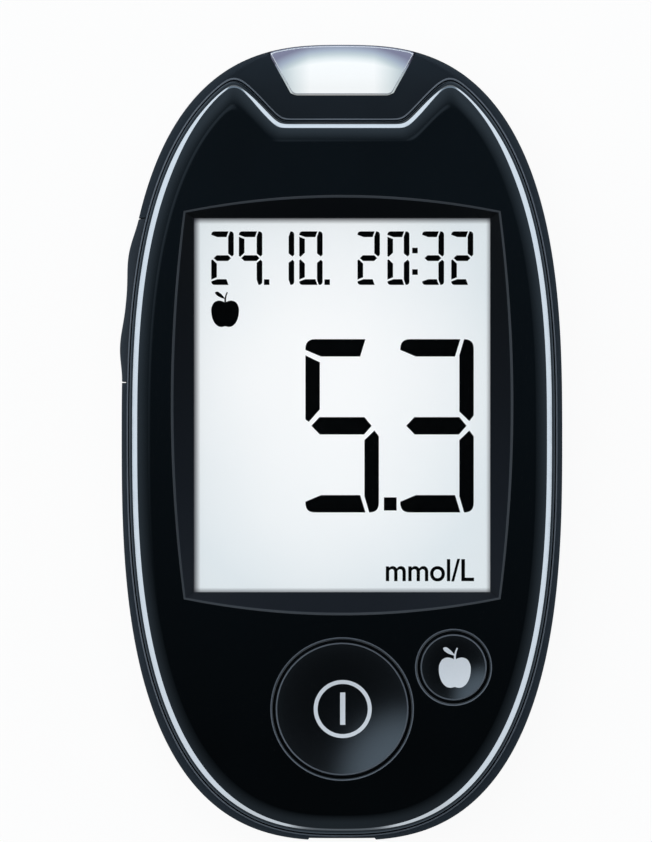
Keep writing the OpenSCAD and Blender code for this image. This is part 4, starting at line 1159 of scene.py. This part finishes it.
# ---------------------------------------------------------------- side rocker
def side_rocker():
    def bump(y, z):
        """The two bumps, one in each half."""
        u = min(1.0, abs(y - ROCKER_Y) / (ROCKER_L / 2))
        rise = sin(pi * ((z - ROCKER_LOW) / (ROCKER_HIGH - ROCKER_LOW)) ** 0.8)
        return ROCKER_BUMP * sin(pi * u ** 1.2) ** 2 * max(0.0, rise)

    def places(low, high, count):
        """Even places from low to high, with finer ones where the edges are eased."""
        near = (0.01, 0.03, 0.06, 0.1, ROCKER_EASE)
        found = [low + (high - low) * k / count for k in range(count + 1)]
        found += [low + d for d in near] + [high - d for d in near]
        return sorted(set(round(v, 5) for v in found))

    half = (ROCKER_L + ROCKER_LONGER) / 2
    ys = places(ROCKER_Y - half, ROCKER_Y + half, 96)
    zs = places(ROCKER_LOW, ROCKER_HIGH, 44)

    def outer(y, z):
        rounding = 0.0
        for d in (y - ys[0], ys[-1] - y, z - zs[0], zs[-1] - z):
            if d < ROCKER_EASE:
                rounding += ROCKER_EASE - sqrt(ROCKER_EASE ** 2 - (ROCKER_EASE - d) ** 2)
        return -side_x(y, z) - bump(y, z) + min(rounding, ROCKER_EASE), y, z

    def inner(y, z):
        return -side_x(y, z) + WALL, y, z

    skin = Skin()
    skin.grid([[outer(y, z) for y in reversed(ys)] for z in zs], closed=False)
    skin.grid([[inner(y, z) for y in ys] for z in zs], closed=False)
    for y, flip in ((ys[0], False), (ys[-1], True)):
        skin.grid([[outer(y, z), inner(y, z)] for z in zs], closed=False, flip=flip)
    for z, flip in ((zs[0], True), (zs[-1], False)):
        skin.grid([[outer(y, z), inner(y, z)] for y in ys], closed=False, flip=flip)
    for section, flip in (([(EAR_R, EAR_LOW), (EAR_R, EAR_HIGH)], False),
                          ([(PIN_HOLE_R, EAR_LOW), (PIN_HOLE_R, EAR_HIGH)], True),
                          ([(EAR_R, EAR_LOW), (PIN_HOLE_R, EAR_LOW)], True),
                          ([(EAR_R, EAR_HIGH), (PIN_HOLE_R, EAR_HIGH)], False)):
        skin.turned((PIN_X, ROCKER_Y), section, flip=flip, count=48)
    skin.piece("rocker_cap", "rocker", [rocker_grey], "rocker", ["side_rocker"])


# ---------------------------------------------------------------- what the display shows
LIT = {"0": "abcdef", "1": "bc", "2": "abged", "3": "abgcd", "5": "afgcd", "9": "abfgc"}


def rounded(points):
    """Outline with its rounded corners drawn; a point may carry a radius."""
    out, n = [], len(points)
    for i, (x, y, *radius) in enumerate(points):
        if not radius:
            out.append((x, y))
            continue
        a, b = (Vector((p[0] - x, p[1] - y)).normalized() * radius[0]
                for p in (points[i - 1], points[(i + 1) % n]))
        for t in (k / 6 for k in range(7)):
            out.append((x + a.x * (1 - t) ** 2 + b.x * t * t, y + a.y * (1 - t) ** 2 + b.y * t * t))
    return out


def segments(w, h, sv, sh):
    """The seven segments of a digit cell, x to the right and y down. Upright bars are sv wide,
    level ones sh high."""
    mid, r = h / 2, 0.66 * sv
    a = [(0, 0.62 * sh), (0, 0, r), (w - 0.93 * sv, 0), (w - 1.3 * sv, sh), (1.08 * sv, sh)]
    b = [(w - 0.67 * sv, 0), (w, 0, r), (w, mid - 0.6 * sh), (w - 0.31 * sv, mid - 0.27 * sh),
         (w - sv, mid - 0.82 * sh), (w - sv, 0.93 * sh)]
    f = [(0, 0.93 * sh), (sv, 1.33 * sh), (sv, mid - 0.95 * sh), (0.24 * sv, mid - 0.23 * sh),
         (0, mid - 0.37 * sh)]
    g = [(0.41 * sv, mid), (0.97 * sv, mid - sh / 2), (w - sv, mid - sh / 2), (w - 0.5 * sv, mid),
         (w - 1.03 * sv, mid + sh / 2), (sv, mid + sh / 2)]

    def upturned(points):
        return [(p[0], h - p[1], *p[2:]) for p in points]

    return {"a": a, "b": b, "c": upturned(b), "d": upturned(a), "e": upturned(f), "f": f, "g": g}


def digit(value, x, y, w, h, sv, sh):
    """Outlines of a digit whose upper left corner is at x, y."""
    cell = segments(w, h, sv, sh)
    return [[(x + p[0], y - p[1]) for p in rounded(cell[k])] for k in LIT[value]]


def ink_piece(name, loops):
    skin = Skin()
    for loop in map(anticlockwise, loops):
        skin.flat([loop], 40.0, INK_Z + 0.015, within(loop))
    skin.piece(name, "housing", [ink], "display")


def display_date():
    """Date and time, with their stops and colon."""
    top, tall, dot = 26.43, 6.7, 0.7
    row = []
    for value, x0, x1 in (("2", -16.35, -13.54), ("9", -12.9, -9.97), ("1", -8.73, -5.98),
                          ("0", -5.35, -2.43), ("2", 1.93, 4.73), ("0", 5.67, 8.42),
                          ("3", 10.01, 12.75), ("2", 13.65, 16.4)):
        row += digit(value, x0, top, x1 - x0, tall, 0.7, 0.72)
    row += [square(x, top - tall, x + 0.68, top - tall + dot) for x in (-9.76, -2.2)]
    row += [square(8.77, y, 9.46, y + dot) for y in (23.68, 20.99)]
    ink_piece("display_date", row)


def display_reading():
    large = []
    for value, x in (("5", -4.58), ("3", 7.28)):
        large += digit(value, x, 12.95, 9.18, 21.66, 1.8, 2.17)
    ink_piece("display_reading", large + [square(5.23, -8.47, 6.82, -6.82)])


def display_unit():
    """The unit, in Blender's built-in letters, fitted to its width on the display."""
    right, base, wide = 16.5 * MM, -17.25 * MM, 11.03 * MM
    words = bpy.data.curves.new("display_unit", "FONT")
    words.body = "mmol/L"
    words.size = 3.9 * MM
    words.align_x = "RIGHT"
    words.space_character = 0.98
    words.extrude = 0.005 * MM
    words.offset = 0.05 * MM
    text = new_object("display_unit_curve", words)
    mesh = evaluated(text)
    bpy.data.objects.remove(text)
    xs = [v.co.x for v in mesh.vertices]
    fit = wide / (max(xs) - min(xs))
    for v in mesh.vertices:
        v.co.x = right + (v.co.x - max(xs)) * fit
        v.co.y += base
        v.co.z += (INK_Z + 0.012) * MM
    coat(mesh, ink)
    placed(mesh, "display_unit", "housing")


# ---------------------------------------------------------------- all pieces
front_shell()
rear_shell()
battery_cover()
port_guide()
button("power_cap", "power_button", POWER, "power_button")
button("marker_cap", "marker_button", MARKER, "marker_button")
power_sign()
marker_sign()
side_rocker()
display_date()
display_reading()
ink_piece("display_apple", apple_loops(-14.62, 16.12, 1.725, 1.645))
display_unit()

for material, names in (
        (pane, ["display_window"]), (face_white, ["lcd_glass"]), (white_plastic, ["lcd_frame"]),
        (milky, ["light_guide"]), (zebra, ["contact_strip"]), (green, ["main_board"]),
        (rubber, ["keypad_mat"]), (lamp, ["port_light"]), (ceramic, ["chip_parts"]),
        (wrap, ["battery_left", "battery_right"]), (brass, ["strip_contacts", "usb_pins"]),
        (dark_plastic, ["side_switches", "strip_connector", "main_chip", "buzzer", "usb_tongue"]),
        (steel, ["snap_domes", "rocker_pin", "crystal", "usb_socket", "battery_springs",
                 "battery_plates", "housing_screws"])):
    for name in names:
        for slot in nodes[name].material_slots:
            slot.material = material


# ---------------------------------------------------------------- floor, light and camera
def world():
    """Dark above, a bright low band of soft light on three sides, and white to the camera."""
    made = bpy.data.worlds.new("studio")
    bpy.context.scene.world = made
    made.use_nodes = True
    made.node_tree.nodes.clear()
    sky = Nodes(made.node_tree)
    x, y, z = sky.node("SeparateXYZ", sky.node("TexCoord").outputs["Generated"]).outputs
    path = sky.node("LightPath").outputs
    glossy = path["Is Glossy Ray"]
    level = sky.math("SQRT", sky.math("SUBTRACT", 1.0, sky.times(z, z)))
    ahead = sky.math("DIVIDE", y, sky.math("MAXIMUM", level, 0.01))
    open_side = sky.smooth(ahead, -0.93, -0.72)

    # the low band: what lights the object, and what its gloss shows
    lit = sky.times(open_side, sky.math("SUBTRACT", 1.0, glossy), BAND_LIGHT)
    seen = sky.times(sky.smooth(ahead, -0.999, -0.975, 0.12, 1.0), glossy, BAND_SEEN)
    band = sky.times(sky.smooth(z, 0.03, 0.065), sky.smooth(z, 0.22, 0.28, 1.0, 0.0),
                     sky.plus(lit, seen))

    # faint light from the sides, least past the lower end, and a pale patch near the top
    fill = sky.times(sky.math("POWER", sky.spread(level, 0.0, 1.0, 0.39, 0.83), 1.5), FILL_ROUND,
                     sky.smooth(ahead, -1.0, 0.6, 0.55, 1.0),
                     sky.math("MAXIMUM", open_side, sky.smooth(z, 0.2, 0.4, 0.35, 1.0)))
    glance = sky.plus(sky.times(x, -0.375), sky.times(y, 0.375), sky.times(z, 0.848))
    patch = sky.times(sky.smooth(glance, 0.885, 0.98, 0.0, PATCH), sky.smooth(z, 0.82, 0.91))
    faint = sky.math("MAXIMUM", sky.plus(fill, FILL_ABOVE), patch)

    light = sky.node("AddShader", sky.node("Background", (0.88, 0.94, 1.0), band),
                     sky.node("Background", (0.6, 0.8, 1.0), faint))
    white = sky.node("Background", WHITE)
    sky.node("OutputWorld", sky.node("MixShader", path["Is Camera Ray"], light, white))


def floor():
    """Pale floor, white to the camera but for the object's shadow, darker to the gloss, and
    clear from below."""
    plan = square(-FLOOR_HALF, -FLOOR_HALF, FLOOR_HALF, FLOOR_HALF)
    mesh = new_mesh("floor", [(x, y, 0) for x, y in plan], [(0, 1, 2, 3)])
    p = Paint("floor_white", (0.8, 0.8, 0.8), 0.9, Specular_IOR_Level=0.0)
    p.set(Base_Color=p.blend(p.noise(30.0), (0.79, 0.79, 0.79), (0.81, 0.81, 0.81)))
    path = p.node("LightPath").outputs
    seen = p.node("AddShader", p.node("BsdfDiffuse", (FLOOR_SHADE,) * 3),
                  p.node("Emission", Strength=1 - FLOOR_SHADE))
    lit = p.node("MixShader", path["Is Glossy Ray"], p.shader, p.node("BsdfDiffuse", FLOOR_GLOSSY))
    eye = p.math("MAXIMUM", path["Is Camera Ray"], path["Is Transmission Ray"])
    above = p.node("MixShader", eye, lit, seen)
    below = p.node("NewGeometry").outputs["Backfacing"]
    p.show(p.node("MixShader", below, above, p.node("BsdfTransparent")))
    coat(mesh, p.material)
    new_object("floor", mesh)


def lamp_panel():
    """Soft overhead panel that lights without showing in the gloss."""
    light = bpy.data.lights.new("panel_above", "AREA")
    light.shape = "RECTANGLE"
    light.size = light.size_y = PANEL_SIZE
    light.energy = PANEL_WATTS
    made = new_object("panel_above", light)
    made.location = PANEL_PLACE
    made.rotation_mode = "QUATERNION"
    made.rotation_quaternion = (Vector(PANEL_AIM) - Vector(PANEL_PLACE)).to_track_quat("-Z", "Y")
    made.visible_glossy = made.visible_camera = made.visible_transmission = False


def camera():
    """Camera straight above, at the photograph's scale on the face."""
    made = bpy.data.cameras.new("camera")
    made.sensor_fit = "AUTO"
    made.sensor_width = SENSOR
    made.lens = SENSOR * CAMERA_UP / (PHOTO_H * MM_PER_PIXEL * MM)
    made.clip_start, made.clip_end = 0.05, 20.0
    viewer = new_object("camera", made)
    viewer.location = (CAMERA_X, CAMERA_Y, BODY_H * MM + CAMERA_UP)
    bpy.context.scene.camera = viewer


world()
floor()
lamp_panel()
camera()
bpy.context.scene.view_settings.view_transform = "Standard"
